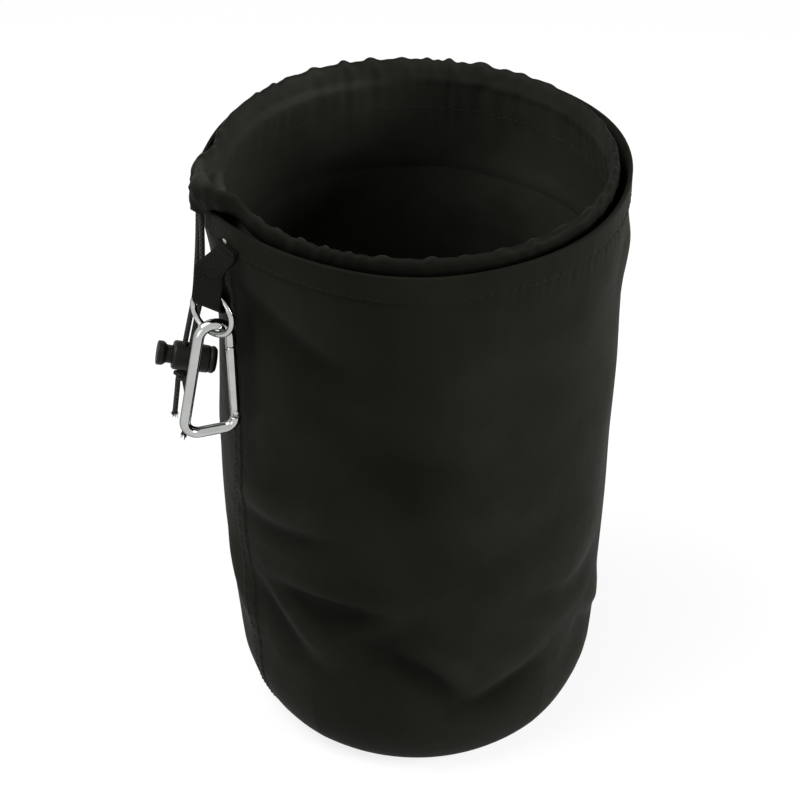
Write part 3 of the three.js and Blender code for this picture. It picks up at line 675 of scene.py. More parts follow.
class PEGBAG_OT_cords(bpy.types.Operator):
    """Make the two loose cords, their knot, their frayed ends and the cord in the channel"""

    bl_idname = "pegbag.cords"
    bl_label = "Drawcords"

    def execute(self, context):
        sizes = context.scene.peg_bag_sizes
        radius = sizes.cord_diameter / 2
        cords = []
        for side, name in ((1, "front"), (-1, "back")):
            path = cord_route(side)
            mesh = tube_mesh("drawcord_" + name, path, radius)
            cord = add_object("drawcord_" + name, mesh, finish_of("cord"))
            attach(cord, "bag")
            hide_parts("drawcord_leg_" + name, "cord_tail_" + name)
            cords.append((cord, path))

        knot_turn = np.linspace(0, 2 * np.pi, 120)
        knot = np.stack([
            (2.15 + 0.85 * np.cos(3 * knot_turn)) * np.cos(2 * knot_turn),
            (2.15 + 0.85 * np.cos(3 * knot_turn)) * np.sin(2 * knot_turn),
            1.25 * np.sin(3 * knot_turn),
        ], axis=-1)
        along, across, up = (np.array(axis) for axis in lock_axes())
        middle = from_ear([on_cord(-9.9, 0.0)])[0]
        knot_path = (middle + knot[:, :1] * along + knot[:, 1:2] * across + knot[:, 2:] * up) * MM
        knot_mesh = tube_mesh("cord_knot_tied", knot_path, radius * 0.98, 12, caps=False)
        tied = add_object("cord_knot_tied", knot_mesh, finish_of("cord"))
        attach(tied, "bag")
        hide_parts("cord_knot")

        rng = np.random.default_rng(11)
        tip_points, tip_faces = [], []
        for cord, path in cords:
            end = path[-1]
            heading = path[-1] - path[-6]
            heading /= np.linalg.norm(heading)
            across = np.cross(heading, [0.3, 0.9, 0.2])
            across /= np.linalg.norm(across)
            other = np.cross(heading, across)
            for k in range(30):
                turn = rng.uniform(0, 2 * np.pi)
                spread = np.cos(turn) * across + np.sin(turn) * other
                root = end - heading * 0.0006 + spread * rng.uniform(0.2, 1.0) * radius * 0.95
                flare = rng.uniform(0.05, 0.45)
                length = rng.uniform(0.0016, 0.0034)
                bent = root + (heading + spread * flare) * length * 0.55
                tip = root + (heading + spread * flare * 1.5) * length
                side = np.cross(heading, spread) * 0.00024
                back = spread * 0.00024
                base = len(tip_points)
                for point, thin in ((root, 1.0), (bent, 0.8), (tip, 0.3)):
                    low = point - side * thin * 0.5
                    corners = (point + side * thin, low + back * thin, low - back * thin)
                    tip_points += [tuple(corner) for corner in corners]
                for row in (0, 3):
                    for a, b in ((0, 1), (1, 2), (2, 0)):
                        low = base + row
                        tip_faces.append((low + a, low + b, low + 3 + b, low + 3 + a))
                tip_faces += [(base + 2, base + 1, base), (base + 6, base + 7, base + 8)]
        tips = bpy.data.meshes.new("cord_frayed_ends")
        tips.from_pydata(tip_points, [], tip_faces)
        tips.update()
        frayed = add_object("cord_frayed_ends", outward(tips), finish_of("cord"))
        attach(frayed, "bag")

        for cord, path in cords:
            length = float(np.linalg.norm(np.diff(path, axis=0), axis=1).sum())

        angles = EAR_ANGLE + RUN_END + (360 - 2 * RUN_END) * np.linspace(0, 1, 240)
        _, out, up = channel_shift(angles)
        run = polar(CHANNEL_RADIUS + out, angles, CHANNEL_MIDDLE + up) * MM
        run_mesh = tube_mesh("drawcord_in_channel", run, radius, 10)
        inside = add_object("drawcord_in_channel", run_mesh, finish_of("cord"))
        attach(inside, "bag")
        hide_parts("drawcord_run")
        return {"FINISHED"}


# Wall
STATIONS = ((91.0, 40.0), (94.5, 135.0), (92.5, 255.0), (94.1, 287.0))
FOOT = (72.0, 19.0, 40.0)


def foot_share(height):
    """How far round the curve of the foot a height is, from 0 at the floor to 1 at its top"""
    low = 1 - np.minimum(np.asarray(height, dtype=float) / FOOT[2], 1.0)
    return np.sqrt(1 - low * low)


def wall_radius(height):
    height = np.asarray(height, dtype=float)
    radius = FOOT[0] + FOOT[1] * foot_share(height)
    for (r0, z0), (r1, z1) in zip(STATIONS, STATIONS[1:]):
        radius = np.where(height > z0, r0 + (r1 - r0) * smooth(height, z0, z1), radius)
    return radius


def wall_drag(angle, height):
    """How far the cords and the tab pull the wall out and down at the ear, in millimetres"""
    weight = np.exp(-((from_angle(angle, DRAG_ANGLE) / 11.0) ** 2))
    beside = 2.6 * np.exp(-((from_angle(angle, 184.5) / 9.0) ** 2)) * smooth(height, 222.0, 268.0)
    out = 0.8 * weight * smooth(height, 225.0, HEM_EDGE) + beside
    return out, 3.0 * weight * smooth(height, 225.0, 300.0)


# Each crease: its line of (angle, height) points, half width, rise (+) or depth (-), and steepness below
CREASES = (
    (((211.5, 149), (228, 152), (246, 158)), 8.8, 2.03, 0.6),
    (((213, 143), (230, 145), (246, 150)), 8.0, -1.49, 1.0),
    (((221, 113), (244, 117), (268, 117)), 6.4, 1.76, 0.6),
    (((225, 106), (248, 106), (264, 110)), 12.8, -2.56, 1.0),
    (((268, 116), (252, 98), (246, 92)), 7.2, 1.35, 1.0),
    (((217, 106), (229, 92), (242, 74)), 8.0, 2.03, 0.7),
    (((212, 98), (224, 84), (236, 68)), 11.2, -1.76, 1.0),
    (((262, 88), (272, 74), (283, 53)), 8.0, -2.56, 1.0),
    (((268, 90), (279, 72), (287, 56)), 6.4, 1.49, 0.8),
    (((284, 53), (296, 62), (310, 71)), 8.0, 1.89, 0.7),
    (((282, 48), (296, 54), (312, 62)), 9.6, -1.62, 1.0),
    (((284, 150), (285, 190), (284, 236)), 19.5, 1.28, 1.0),
    (((262, 210), (268, 180), (274, 150)), 15.6, -1.12, 1.0),
    (((214, 281), (232, 268), (256, 252)), 8.8, 1.49, 0.7),
    (((216, 273), (234, 259), (252, 246)), 10.4, -1.22, 1.0),
    (((352, 286), (355, 268), (350, 250)), 8.0, 1.76, 0.8),
    (((330, 240), (338, 205), (334, 170)), 15.6, 1.12, 1.0),
    (((300, 120), (318, 110), (336, 116)), 11.2, 1.22, 0.8),
    (((302, 111), (320, 101), (338, 107)), 11.2, -1.22, 1.0),
    (((198, 112), (202, 88), (206, 62)), 8.0, 2.16, 0.8),
    (((335, 78), (346, 60), (356, 48)), 9.6, 1.76, 0.7),
    (((328, 66), (340, 52), (352, 42)), 11.2, -1.49, 1.0),
    (((20, 170), (40, 162), (64, 168)), 11.2, 1.89, 0.7),
    (((22, 160), (44, 151), (66, 158)), 11.2, -1.62, 1.0),
    (((70, 110), (84, 90), (90, 64)), 9.6, 1.89, 0.7),
    (((96, 140), (112, 128), (134, 132)), 11.2, 1.76, 0.7),
    (((98, 131), (114, 118), (136, 123)), 12.8, -1.49, 1.0),
    (((130, 84), (146, 66), (152, 50)), 9.6, 1.76, 0.8),
    (((150, 190), (160, 170), (176, 160)), 12.8, 1.35, 0.8),
    (((40, 80), (52, 62), (64, 54)), 9.6, -1.62, 1.0),
    (((112, 236), (118, 212), (116, 184)), 15.6, 1.28, 1.0),
    (((60, 250), (66, 222), (62, 192)), 16.9, -1.28, 1.0),
)


def crease_height(angle, height):
    """How far the cloth stands out at each place, in millimetres"""
    total = np.zeros(np.broadcast(angle, height).shape)
    for line, width, rise, below in CREASES:
        line = np.array(line, dtype=float)
        middle = line[:, 0].mean()
        x = np.radians(from_angle(angle, middle)) * 93.0
        px = np.radians(line[:, 0] - middle) * 93.0
        best = np.full(total.shape, 1e9)
        along = np.zeros(total.shape)
        over = np.zeros(total.shape)
        lengths = np.hypot(np.diff(px), np.diff(line[:, 1]))
        start = 0.0
        for k, run in enumerate(lengths):
            dx, dz = (px[k + 1] - px[k]) / run, (line[k + 1, 1] - line[k, 1]) / run
            t = np.clip((x - px[k]) * dx + (height - line[k, 1]) * dz, 0, run)
            nx, nz = x - px[k] - t * dx, height - line[k, 1] - t * dz
            distance = np.hypot(nx, nz)
            nearer = distance < best
            best = np.where(nearer, distance, best)
            along = np.where(nearer, (start + t) / lengths.sum(), along)
            over = np.where(nearer, nz, over)
            start += run
        spread = np.where(over < 0, width * below, width)
        tent = np.clip(1.06 - np.sqrt((best / (1.75 * spread)) ** 2 + 0.0036), 0, 1)
        fade = np.sin(np.pi * np.clip(along * 0.84 + 0.08, 0, 1)) ** 0.8
        total += rise * (0.35 * np.exp(-((best / spread) ** 2)) + 0.65 * tent) * fade
    return total


def wall_shift(angle, height, creases):
    """Outward shift of the wall in millimetres: slack waves, creases and the flats of the foot"""
    a = np.radians(angle)
    slack = (
        0.8 * np.sin(2 * a + 0.6) * np.sin(height / 61.0 + 0.4)
        + 0.75 * np.sin(3 * a - height / 47.0 + 1.1)
        + 0.55 * np.sin(5 * a + height / 39.0 + 2.0)
        + 0.28 * np.sin(9 * a - height / 23.0)
    )
    low = smooth(height, 2.0, 30.0) * (1 - smooth(height, 262.0, 288.0))
    flats = -0.9 * (np.abs(np.sin(4.5 * a + 0.35)) ** 0.6)
    flats = flats * (1 - smooth(height, 20.0, 75.0)) * smooth(height, -2.0, 14.0)
    hem = 0.35 * np.sin(4 * a + 1.0) + 0.25 * np.sin(7 * a + 0.4)
    pulls = (0.5 + 0.5 * np.sin(2 * a + 2.4)) * np.exp(-(((height - 286.0) / 5.0) ** 2))
    pulls = 0.16 * pulls * (np.sin(119 * a) + 0.6 * np.sin(73 * a + 1.0))
    seam = np.radians(from_angle(angle, SEAM_ANGLE)) * 93.0
    fell = 0.4 * (smooth(seam, -8.4, -8.0) - smooth(seam, -0.2, 0.2)) - 0.12 * np.exp(-((seam / 0.8) ** 2))
    fell = fell * smooth(height, 3.0, 12.0) * (1 - smooth(height, 262.0, 280.0))
    pucker = 0.16 * np.sin(height / 1.5) * np.exp(-(((seam + 4) / 7.0) ** 2)) * low
    hung = np.exp(-((from_angle(angle, 210.0) / 13.0) ** 4)) * smooth(height, 165.0, 188.0)
    folds = (slack + creases * crease_height(angle, height)) * low * (1 - 0.85 * hung)
    return (folds + flats + hem * smooth(height, 262.0, 292.0) + pulls + fell + pucker) * foot_share(height)


def rim_wave(angle, height):
    """The rim waves gently up and down"""
    angle = np.asarray(angle)
    wave = 0.6 * np.sin(np.radians(3 * angle + 20)) + 0.35 * np.sin(np.radians(5 * angle))
    return wave * smooth(height, 235.0, 290.0)


def wall_place(angle, height, creases, proud=0.0):
    """A point on the outside of the wall, in metres"""
    hem = 0.9 * smooth(height, HEM_EDGE - 0.15, HEM_EDGE + 0.25)
    out, down = wall_drag(angle, height)
    radius = wall_radius(height) + hem + wall_shift(angle, height, creases) + out + proud
    return polar(radius, angle, height - down + rim_wave(angle, height)) * MM


class PEGBAG_OT_wall(bpy.types.Operator):
    """Make the creased wall with its hem and side seam, and the base"""

    bl_idname = "pegbag.wall"
    bl_label = "Wall and base"

    def execute(self, context):
        sizes = context.scene.peg_bag_sizes
        creases = sizes.crease_depth
        thick = sizes.cloth / MM
        top = sizes.bag_height / MM
        cols = 528
        angles = np.linspace(0, 360, cols, endpoint=False) + 0.3
        base_radius, inset, rise = FOOT
        rows = []
        for turn in np.radians(np.linspace(-90, 0, 12)):
            z = rise + rise * math.sin(turn)
            rows.append(wall_place(angles, np.full(cols, z), creases) / MM)
        levels = np.concatenate([
            np.linspace(40, 270, 85)[1:], np.linspace(270, 286.6, 9)[1:],
            [286.85, 287.0, 287.15, 287.4, 287.9, 288.2, 288.5, 288.8, 289.3],
            np.linspace(289.3, top - 0.7, 6)[1:],
        ])
        for z in levels:
            height = np.full(cols, z)
            groove = 0.28 * math.exp(-(((z - 288.5) / 0.45) ** 2))
            rows.append(wall_place(angles, height, creases, -groove) / MM)
        rim_out = wall_place(angles, np.full(cols, top - 0.7), creases) / MM
        for turn in np.radians((35, 70, 90, 120, 160)):
            inward = (thick + 0.9) / 2 * (1 - math.cos(turn))
            unit = rim_out[:, :2] / np.linalg.norm(rim_out[:, :2], axis=1)[:, None]
            lifted = np.column_stack([rim_out[:, :2] - unit * inward, rim_out[:, 2] + 0.7 * math.sin(turn)])
            rows.append(lifted)
        inner_levels = np.concatenate([np.linspace(top - 1.2, 288, 3), [286.8], np.linspace(285, 40, 50)])
        for z in inner_levels:
            height = np.full(cols, z)
            doubled = thick + 0.9 * float(smooth(z, HEM_EDGE - 0.5, HEM_EDGE + 0.5))
            rows.append(wall_place(angles, height, creases, -doubled) / MM)
        foot_turns = np.radians(np.linspace(0, -90, 10)[1:])
        for turn in foot_turns:
            z = rise + (rise - thick) * math.sin(turn)
            shift = wall_shift(angles, np.full(cols, z), creases)
            r = base_radius + (inset - thick) * math.cos(turn) + shift
            rows.append(polar(r, angles, np.full(cols, z)))
        points = np.array(rows)
        points[:, :, 2] = np.maximum(points[:, :, 2], 0.0)
        run = distances(points[:, 0]) * MM
        around = np.linspace(0, 2 * np.pi * 0.093, cols + 1)
        closing = np.concatenate([run, [run[-1] + thick * MM]])
        mesh = outward(grid_mesh(
            "wall_cloth_shell", points * MM, close_rows=True, close_cols=True, uv=(around, closing),
        ))
        # Painted light: the inner rows of the wall take the lighter inside colour
        inner = np.arange(len(rows)) >= len(rows) - len(inner_levels) - len(foot_turns)
        mark(mesh, "inside", np.repeat(inner, cols))
        # Painted highlight and shade: the crease heights become a tone, lighter on the ridges and darker in
        # the valleys, on the outside only
        crease_painted_light = crease_height(np.broadcast_to(angles, points.shape[:2]), points[:, :, 2])
        mark(mesh, "crease_painted_light", crease_painted_light * (1 - inner[:, None]) / 1.6)
        wall = add_object("wall_cloth_shell", mesh, finish_of("wall"))
        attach(wall, "bag")
        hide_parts("wall_panel")

        disc = [
            (0.0, 0.0), (35.0, 0.0), (70.6, 0.0), (71.5, 0.25), (71.7, 0.7),
            (71.5, 1.2), (70.4, 1.4), (52.0, 2.1), (25.0, 2.5), (0.0, 2.6),
        ]
        rings = lathe_points(disc, 160)
        rings[0] *= [0.0, 0.0, 1.0]
        radial = distances(rings[:, 0]) * MM
        around = np.linspace(0, 2 * np.pi * 0.05, 161)
        base_mesh = grid_mesh("base_cloth_disc", rings * MM, close_cols=True, uv=(around, radial))
        build = bmesh.new()
        build.from_mesh(base_mesh)
        layer = build.loops.layers.uv.active
        for face in build.faces:
            for loop in face.loops:
                loop[layer].uv = loop.vert.co.xy
        bmesh.ops.remove_doubles(build, verts=build.verts, dist=1e-6)
        build.to_mesh(base_mesh)
        build.free()
        base_mesh = outward(base_mesh)
        # Painted light: the upper face of the base takes the lighter inside colour
        mark(base_mesh, "inside", [point.co.z > 0.0013 for point in base_mesh.vertices])
        base = add_object("base_cloth_disc", base_mesh, finish_of("wall"))
        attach(base, "bag")
        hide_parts("base_panel")

        allowance = []
        turn = np.linspace(0, 360, 240, endpoint=False)
        ripple = 0.5 * np.sin(np.radians(turn * 17)) + 0.35 * np.sin(np.radians(turn * 41 + 30))
        for r, z in ((70.2, 2.0), (70.6, 6.0), (70.0, 9.0), (71.0, 9.2), (72.0, 6.0), (71.9, 2.0)):
            allowance.append(polar(r + ripple * (z / 9.0), turn, z + 0.4 * ripple))
        lap = np.array(allowance) * MM
        seam_map = (np.linspace(0, 0.44, 241), np.linspace(0, 0.02, 7))
        seam_mesh = grid_mesh("base_seam_allowance", lap, close_rows=True, close_cols=True, uv=seam_map)
        allowance_piece = add_object("base_seam_allowance", outward(seam_mesh), finish_of("wall"))
        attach(allowance_piece, "bag")
        return {"FINISHED"}


# Collar
def gather_wave(angle, gathers):
    """Uneven gathers: the spacing and the size wander round the mouth"""
    a = np.radians(angle)
    phase = gathers * a + 1.7 * np.sin(3 * a + 0.4) + 1.1 * np.sin(7 * a + 2.0) + 0.6 * np.sin(13 * a)
    size = 0.75 + 0.35 * np.sin(5 * a + 1.0) * np.sin(2 * a) + 0.25 * np.sin(11 * a)
    wave = np.cos(phase)
    fine = np.cos(1.9 * phase + 1.3 * np.sin(4 * a)) * (0.8 + 0.5 * np.sin(6 * a + 0.7))
    return size * (wave + 0.35 * np.cos(2 * phase + 0.8)) + 0.5 * fine


def channel_shift(angles):
    """How far the channel is drawn out and up: most at the ear, a little along the back left"""
    weight = np.exp(-((from_angle(angles, EAR_ANGLE) / EAR_HALF) ** 4))
    drawn = np.exp(-((from_angle(angles, 146.0) / 46.0) ** 4)) * (1 - weight)
    return weight, EAR_REACH * weight + 2.3 * drawn, EAR_RISE * weight ** 0.3 + 1.2 * drawn


def collar_lines(angles, sizes):
    """The line of the cloth at each angle, from its seam up, over the channel and down, in mm"""
    near = from_angle(angles, EAR_ANGLE)
    weight, out, up = channel_shift(angles)
    crumple = weight * (np.sin(np.radians(near * 31)) + 0.6 * np.sin(np.radians(near * 53 + 40)))
    opening = (2.4 + 0.5 * crumple) * np.exp(-((near / 5.5) ** 2))
    wave, lag = gather_wave(angles, sizes.gathers), gather_wave(angles + 2.2, sizes.gathers)
    seam = CHANNEL_SEAM + up
    top = 304.55 + up + sizes.gather_rise / MM * wave
    middle = CHANNEL_RADIUS + out
    swell = 1.95 + 0.6 * weight + 0.25 * lag + 0.25 * crumple
    lift = top - seam
    bend = np.minimum(300 + 1.4 * weight, seam - 1.8)
    flap_foot = seam + 0.9 - 8.0 * np.exp(-((near / 7.0) ** 4)) + 0.7 * crumple
    pleat = 0.4 * wave

    def seat(height):
        at = np.full(angles.shape, height)
        inside = wall_radius(at) + wall_shift(angles, at, sizes.crease_depth) + wall_drag(angles, at)[0]
        return inside - sizes.cloth / MM - 0.2

    rows = (
        (seat(241.0) + 0.7, np.full(angles.shape, 241.0)),
        (seat(246.0), np.full(angles.shape, 246.0)),
        (np.minimum(seat(256.0), 90.4), np.full(angles.shape, 256.0)),
        (88.9 + 0.2 * pleat, np.full(angles.shape, 270.0)),
        (87.1 + 0.6 * pleat, np.full(angles.shape, 284.0)),
        (85.9 + 0.9 * weight + 0.9 * pleat * (1 - weight), bend),
        (85.3 + out - opening / 4 + 0.6 * pleat, seam),
        (middle - swell * 0.82 + 0.4 * pleat, seam + lift * 0.40),
        (middle - swell * 0.72 + 0.3 * pleat, seam + lift * 0.78),
        (middle - swell * 0.2, top),
        (middle + swell * 0.45, top - lift * 0.03),
        (middle + swell * 0.85 + opening / 2, seam + lift * 0.75),
        (middle + swell + opening, seam + lift * 0.40),
        (87.45 + 0.6 + out + opening * 1.6, flap_foot),
    )
    return np.stack([np.stack(row, axis=-1) for row in rows], axis=1)


class PEGBAG_OT_collar(bpy.types.Operator):
    """Make the gathered drawstring collar"""

    bl_idname = "pegbag.collar"
    bl_label = "Collar"

    def execute(self, context):
        sizes = context.scene.peg_bag_sizes
        cols, half = 1040, 0.3
        angles = np.linspace(0, 360, cols, endpoint=False)
        sections = []
        for angle, knots in zip(angles, collar_lines(angles, sizes)):
            line = spline_through(knots, 46)
            run = np.gradient(line, axis=0)
            run /= np.linalg.norm(run, axis=1)[:, None]
            thin = half * (0.35 + 0.65 * smooth(line[:, 1], 241.0, 250.0))[:, None]
            across = np.stack([run[:, 1], -run[:, 0]], axis=-1) * thin
            loop = np.vstack([line + across, (line - across)[::-1]])
            sections.append(polar(loop[:, 0], angle, loop[:, 1]))
        points = np.array(sections).transpose(1, 0, 2)
        x, y, z = points[:, :, 0], points[:, :, 1], points[:, :, 2]
        crush = np.sin(y / 1.1 + 2 * np.sin(z / 2.3)) * np.sin(z / 1.6 + x / 2.4)
        crush = crush + 0.6 * np.sin(y / 2.3 - z / 1.9 + 1.0)
        crush = 0.42 * crush * channel_shift(angles)[0] * smooth(z, 288.0, 296.0)
        points = points + crush[:, :, None] * polar(1.0, angles, 0 * angles)
        run = distances(points[:, 0]) * MM
        mesh = grid_mesh(
            "collar_cloth_band", points * MM, close_rows=True, close_cols=True,
            uv=(np.linspace(0, 2 * np.pi * 0.088, cols + 1), np.concatenate([run, [run[-1] + 0.0006]])),
        )
        # Painted light: the inner face of the collar takes the lighter inside colour
        rise = 1 - smooth(np.arange(46), 36, 40)
        mark(mesh, "inside", np.repeat(np.concatenate([rise, rise[::-1]]), cols))
        collar = add_object("collar_cloth_band", outward(mesh), finish_of("collar"))
        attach(collar, "bag")
        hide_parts("drawstring_collar")
        return {"FINISHED"}


# Webbing tab
def tab_place(thick, wide, down):
    """A point of the tab in metres: through its thickness, across and down from the hem, in mm"""
    thick, wide, down = np.broadcast_arrays(*(np.asarray(part, float) for part in (thick, wide, down)))
    settled = smooth(down, 0.0, 7.0)
    turn = TAB_TURN * settled
    x = TAB_REACH + TAB_STANDOFF * settled + thick * np.cos(turn) - wide * np.sin(turn)
    y = thick * np.sin(turn) + wide * np.cos(turn)
    a = math.radians(TAB_ANGLE)
    turned = (x * math.cos(a) - y * math.sin(a), x * math.sin(a) + y * math.cos(a), TAB_TOP - down)
    return np.stack(turned, axis=-1) * MM


LOOP_FOOT = TAB_TOP + 0.3 - RING_HEIGHT - (7.349 - 1.5 / (7.349 / 10.5)) + 0.6


def tab_line():
    """The webbing's middle line as (thickness, down): down the front, round the ring, up the back"""
    half, middle = 3.6, LOOP_FOOT - 3.0
    downs = np.concatenate([np.linspace(-2.5, 9, 8), np.linspace(9, middle, 16)[1:]])
    spread = 0.66 + (half - 0.66) * smooth(downs, 9.0, middle)
    turns = np.radians(np.linspace(0, 180, 17)[1:-1])
    fold = np.column_stack([half * np.cos(turns), middle + half * np.sin(turns)])
    front = np.column_stack([spread, downs])
    back = np.column_stack([-spread, downs])[::-1]
    return np.vstack([front, fold, back])


class PEGBAG_OT_tab(bpy.types.Operator):
    """Make the folded webbing tab"""

    bl_idname = "pegbag.tab"
    bl_label = "Webbing tab"

    def execute(self, context):
        line = tab_line()
        run = np.gradient(line, axis=0)
        run /= np.linalg.norm(run, axis=1)[:, None]
        across = np.stack([run[:, 1], -run[:, 0]], axis=-1)
        half = 0.58
        flat = [(wide, 1.0) for wide in (-6.9, -4, -2, 0, 2, 4, 6.9)]
        depths = [(-7.5, 0.55), (-7.3, 0.9), *flat, (7.3, 0.9), (7.5, 0.55)]
        section = [(wide, half * depth) for wide, depth in depths]
        loop = section + [(w, -h) for w, h in reversed(section)]
        edges = [tab_place(line[:, 0] + across[:, 0] * h, w, line[:, 1] + across[:, 1] * h) for w, h in loop]
        points = np.array(edges).transpose(1, 0, 2)
        along = distances(line) * MM
        spots = np.array([w for w, _ in loop] + [loop[0][0]]) * MM
        mesh = grid_mesh("tab_webbing_loop", points, close_cols=True, uv=(spots, along))
        fill_ends(mesh)
        tab = add_object("tab_webbing_loop", outward(mesh), finish_of("webbing"))
        tuple(tab_place(0, 0, -1.0))
        tuple(tab_place(0, 0, 12.0))
        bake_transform(tab)
        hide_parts("webbing_tab")
        return {"FINISHED"}


# Ring and snap hook
def tab_point(x, y, z):
    a = math.radians(TAB_ANGLE)
    return np.array([x * math.cos(a) - y * math.sin(a), x * math.sin(a) + y * math.cos(a), z])


HOOK_AXES = (
    (math.cos(HOOK_ANGLE), math.sin(HOOK_ANGLE), 0.0),
    (-math.sin(HOOK_ANGLE), math.cos(HOOK_ANGLE), 0.0),
    (0.0, 0.0, 1.0),
)
HOOK_ORIGIN = tab_point(TAB_REACH + TAB_STANDOFF, 0.0, HOOK_TOP) * MM
GATE_LINE = -7.0
HOOK_FOOT_LINE = -56.8
PIVOT = HOOK_FOOT_LINE + 8.3


def hook_line():
    """The middle line of the hook's wire in its own plane, in mm"""
    top, foot = np.array([0.0, -7.0]), np.array([GATE_LINE + 28.2 - 5.2 - 6.5, HOOK_FOOT_LINE + 6.5])
    heel = np.array([GATE_LINE + 5.2, HOOK_FOOT_LINE + 5.2])
    spine = top - foot
    lean = math.atan2(spine[1], spine[0]) - math.acos((6.5 - 7.0) / np.linalg.norm(spine))

    def arc(centre, radius, start, end, steps):
        turns = np.linspace(start, end, steps)
        return np.column_stack([centre[0] + radius * np.cos(turns), centre[1] + radius * np.sin(turns)])

    corners = np.vstack([
        [[GATE_LINE, PIVOT - 2.9], [GATE_LINE, heel[1] + 0.3]],
        arc(heel, 5.2, math.pi, 1.5 * math.pi, 16),
        arc(foot, 6.5, -math.pi / 2, lean, 24),
        arc(top, 7.0, lean, math.pi, 30),
        [[GATE_LINE, -12.2]],
    ])
    along = distances(corners)
    at = np.linspace(0, along[-1], 190)
    return np.column_stack([np.interp(at, along, corners[:, 0]), np.interp(at, along, corners[:, 1])])


def plate_object(name, outline, thickness, material):
    """A flat plate in the hook's plane, from an outline of (x, z) points in mm"""
    count = len(outline)
    points = [(x * MM, y * MM, z * MM) for y in (-thickness / 2, thickness / 2) for x, z in outline]
    faces = [tuple(range(count)), tuple(range(2 * count - 1, count - 1, -1))]
    faces += [(i, count + i, count + (i + 1) % count, (i + 1) % count) for i in range(count)]
    mesh = bpy.data.meshes.new(name)
    mesh.from_pydata(points, [], faces)
    mesh.update()
    return add_object(name, outward(mesh), material, shade_smooth=False)


def tongue_outline(flat_end, round_centre, half):
    up = math.copysign(1.0, round_centre - flat_end)
    turns = np.linspace(0, up * math.pi, 18)
    outline = [(GATE_LINE + half, flat_end)]
    outline += [(GATE_LINE + half * math.cos(t), round_centre + half * math.sin(t)) for t in turns]
    return outline + [(GATE_LINE - half, flat_end)]


def box_object(name, size, middle):
    mesh = bpy.data.meshes.new(name)
    signs = np.array([(x, y, z) for x in (-1, 1) for y in (-1, 1) for z in (-1, 1)])
    points = (np.array(middle) + signs * np.array(size) / 2) * MM
    faces = [(0, 1, 3, 2), (4, 6, 7, 5), (0, 4, 5, 1), (2, 3, 7, 6), (0, 2, 6, 4), (1, 5, 7, 3)]
    mesh.from_pydata(points.tolist(), [], faces)
    return add_object(name, outward(mesh), finish_of("steel"), shade_smooth=False)


class PEGBAG_OT_hardware(bpy.types.Operator):
    """Make the ring, the snap hook, its gate and the gate pin"""

    bl_idname = "pegbag.hardware"
    bl_label = "Ring and snap hook"

    def execute(self, context):
        steel = finish_of("steel")
        turns = np.linspace(0, 2 * np.pi, 97)[:-1]
        sides = np.linspace(0, 2 * np.pi, 21)[:-1]
        across = math.radians(TAB_ANGLE) + math.pi / 2 + TAB_TURN
        wide = np.array([math.cos(across), math.sin(across), 0.0])
        deep = np.array([-math.sin(across), math.cos(across), 0.0])
        ring_radius, thin = 10.5, 1.42
        centre = tab_point(TAB_REACH + TAB_STANDOFF, 0.0, RING_HEIGHT)
        rows = []
        for t in turns:
            spoke = math.cos(t) * wide + math.sin(t) * np.array([0.0, 0.0, 1.0])
            middle = centre + spoke * ring_radius
            rows.append([middle + thin * (spoke * math.cos(s) + deep * math.sin(s)) for s in sides])
        ring_mesh = outward(grid_mesh("ring_wire", np.array(rows) * MM, close_rows=True, close_cols=True))
        ring = add_object("ring_wire", ring_mesh, steel)
        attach(ring, "ring")
        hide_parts("tab_ring")

        line = hook_line()
        path = np.column_stack([line[:, 0], np.zeros(len(line)), line[:, 1]]) * MM
        wire = add_object("hook_wire", tube_mesh("hook_wire", path, 2.52 * MM, 24), steel)
        place(wire.data, HOOK_AXES, HOOK_ORIGIN)
        soften_edges(wire, 0.0006, 50.0, 3)
        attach(wire, "hook")
        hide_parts("hook_frame")
        for name, outline in (
            ("hook_heel_tongue", tongue_outline(PIVOT - 4.2, PIVOT, 2.1)),
            ("hook_nose_tongue", tongue_outline(-10.9, -13.7, 1.7)),
        ):
            tongue = plate_object(name, outline, 2.0, steel)
            place(tongue.data, HOOK_AXES, HOOK_ORIGIN)
            soften_edges(tongue, 0.0003)
            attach(tongue, "hook")

        gate_top = -12.7
        ends = [(2.4 * math.sin(t), PIVOT - 2.4 * math.cos(t)) for t in np.linspace(0, math.pi / 2, 12)]
        profile = ends + [(2.4, gate_top - 0.7), (2.25, gate_top - 0.25), (1.9, gate_top), (0.0, gate_top)]
        gate = add_object("hook_gate_bar", lathe_mesh("hook_gate_bar", profile, 40), steel)
        place(gate.data, np.eye(3), np.array([GATE_LINE, 0, 0]) * MM)
        cut(gate, box_object("slot_low", (12, 2.6, 6.0), (GATE_LINE, 0, PIVOT + 0.1)))
        cut(gate, box_object("slot_high", (12, 2.6, 3.7), (GATE_LINE, 0, gate_top + 0.5 - 1.85)))
        place(gate.data, HOOK_AXES, HOOK_ORIGIN)
        soften_edges(gate, 0.0002)
        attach(gate, "gate")
        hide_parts("hook_gate")

        head = [(1.0, 2.4), (1.4, 2.45), (1.25, 2.7), (0.8, 2.9), (0.0, 2.95)]
        rivet = [(r, -z) for r, z in reversed(head)] + head
        pin = add_object("gate_rivet", lathe_mesh("gate_rivet", rivet, 24), steel)
        place(pin.data, ((1, 0, 0), (0, 0, 1), (0, 1, 0)), np.array([GATE_LINE, 0, PIVOT]) * MM)
        outward(pin.data)
        place(pin.data, HOOK_AXES, HOOK_ORIGIN)
        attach(pin, "hook")
        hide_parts("gate_pin")
        return {"FINISHED"}


# Cord lock
def lock_axes():
    a, lean = math.radians(EAR_ANGLE) + LOCK_TURN, LOCK_LEAN
    along = (math.cos(a) * math.cos(lean), math.sin(a) * math.cos(lean), math.sin(lean))
    side = (-math.sin(a), math.cos(a), 0.0)
    up = (-math.cos(a) * math.sin(lean), -math.sin(a) * math.sin(lean), math.cos(lean))
    return along, side, up


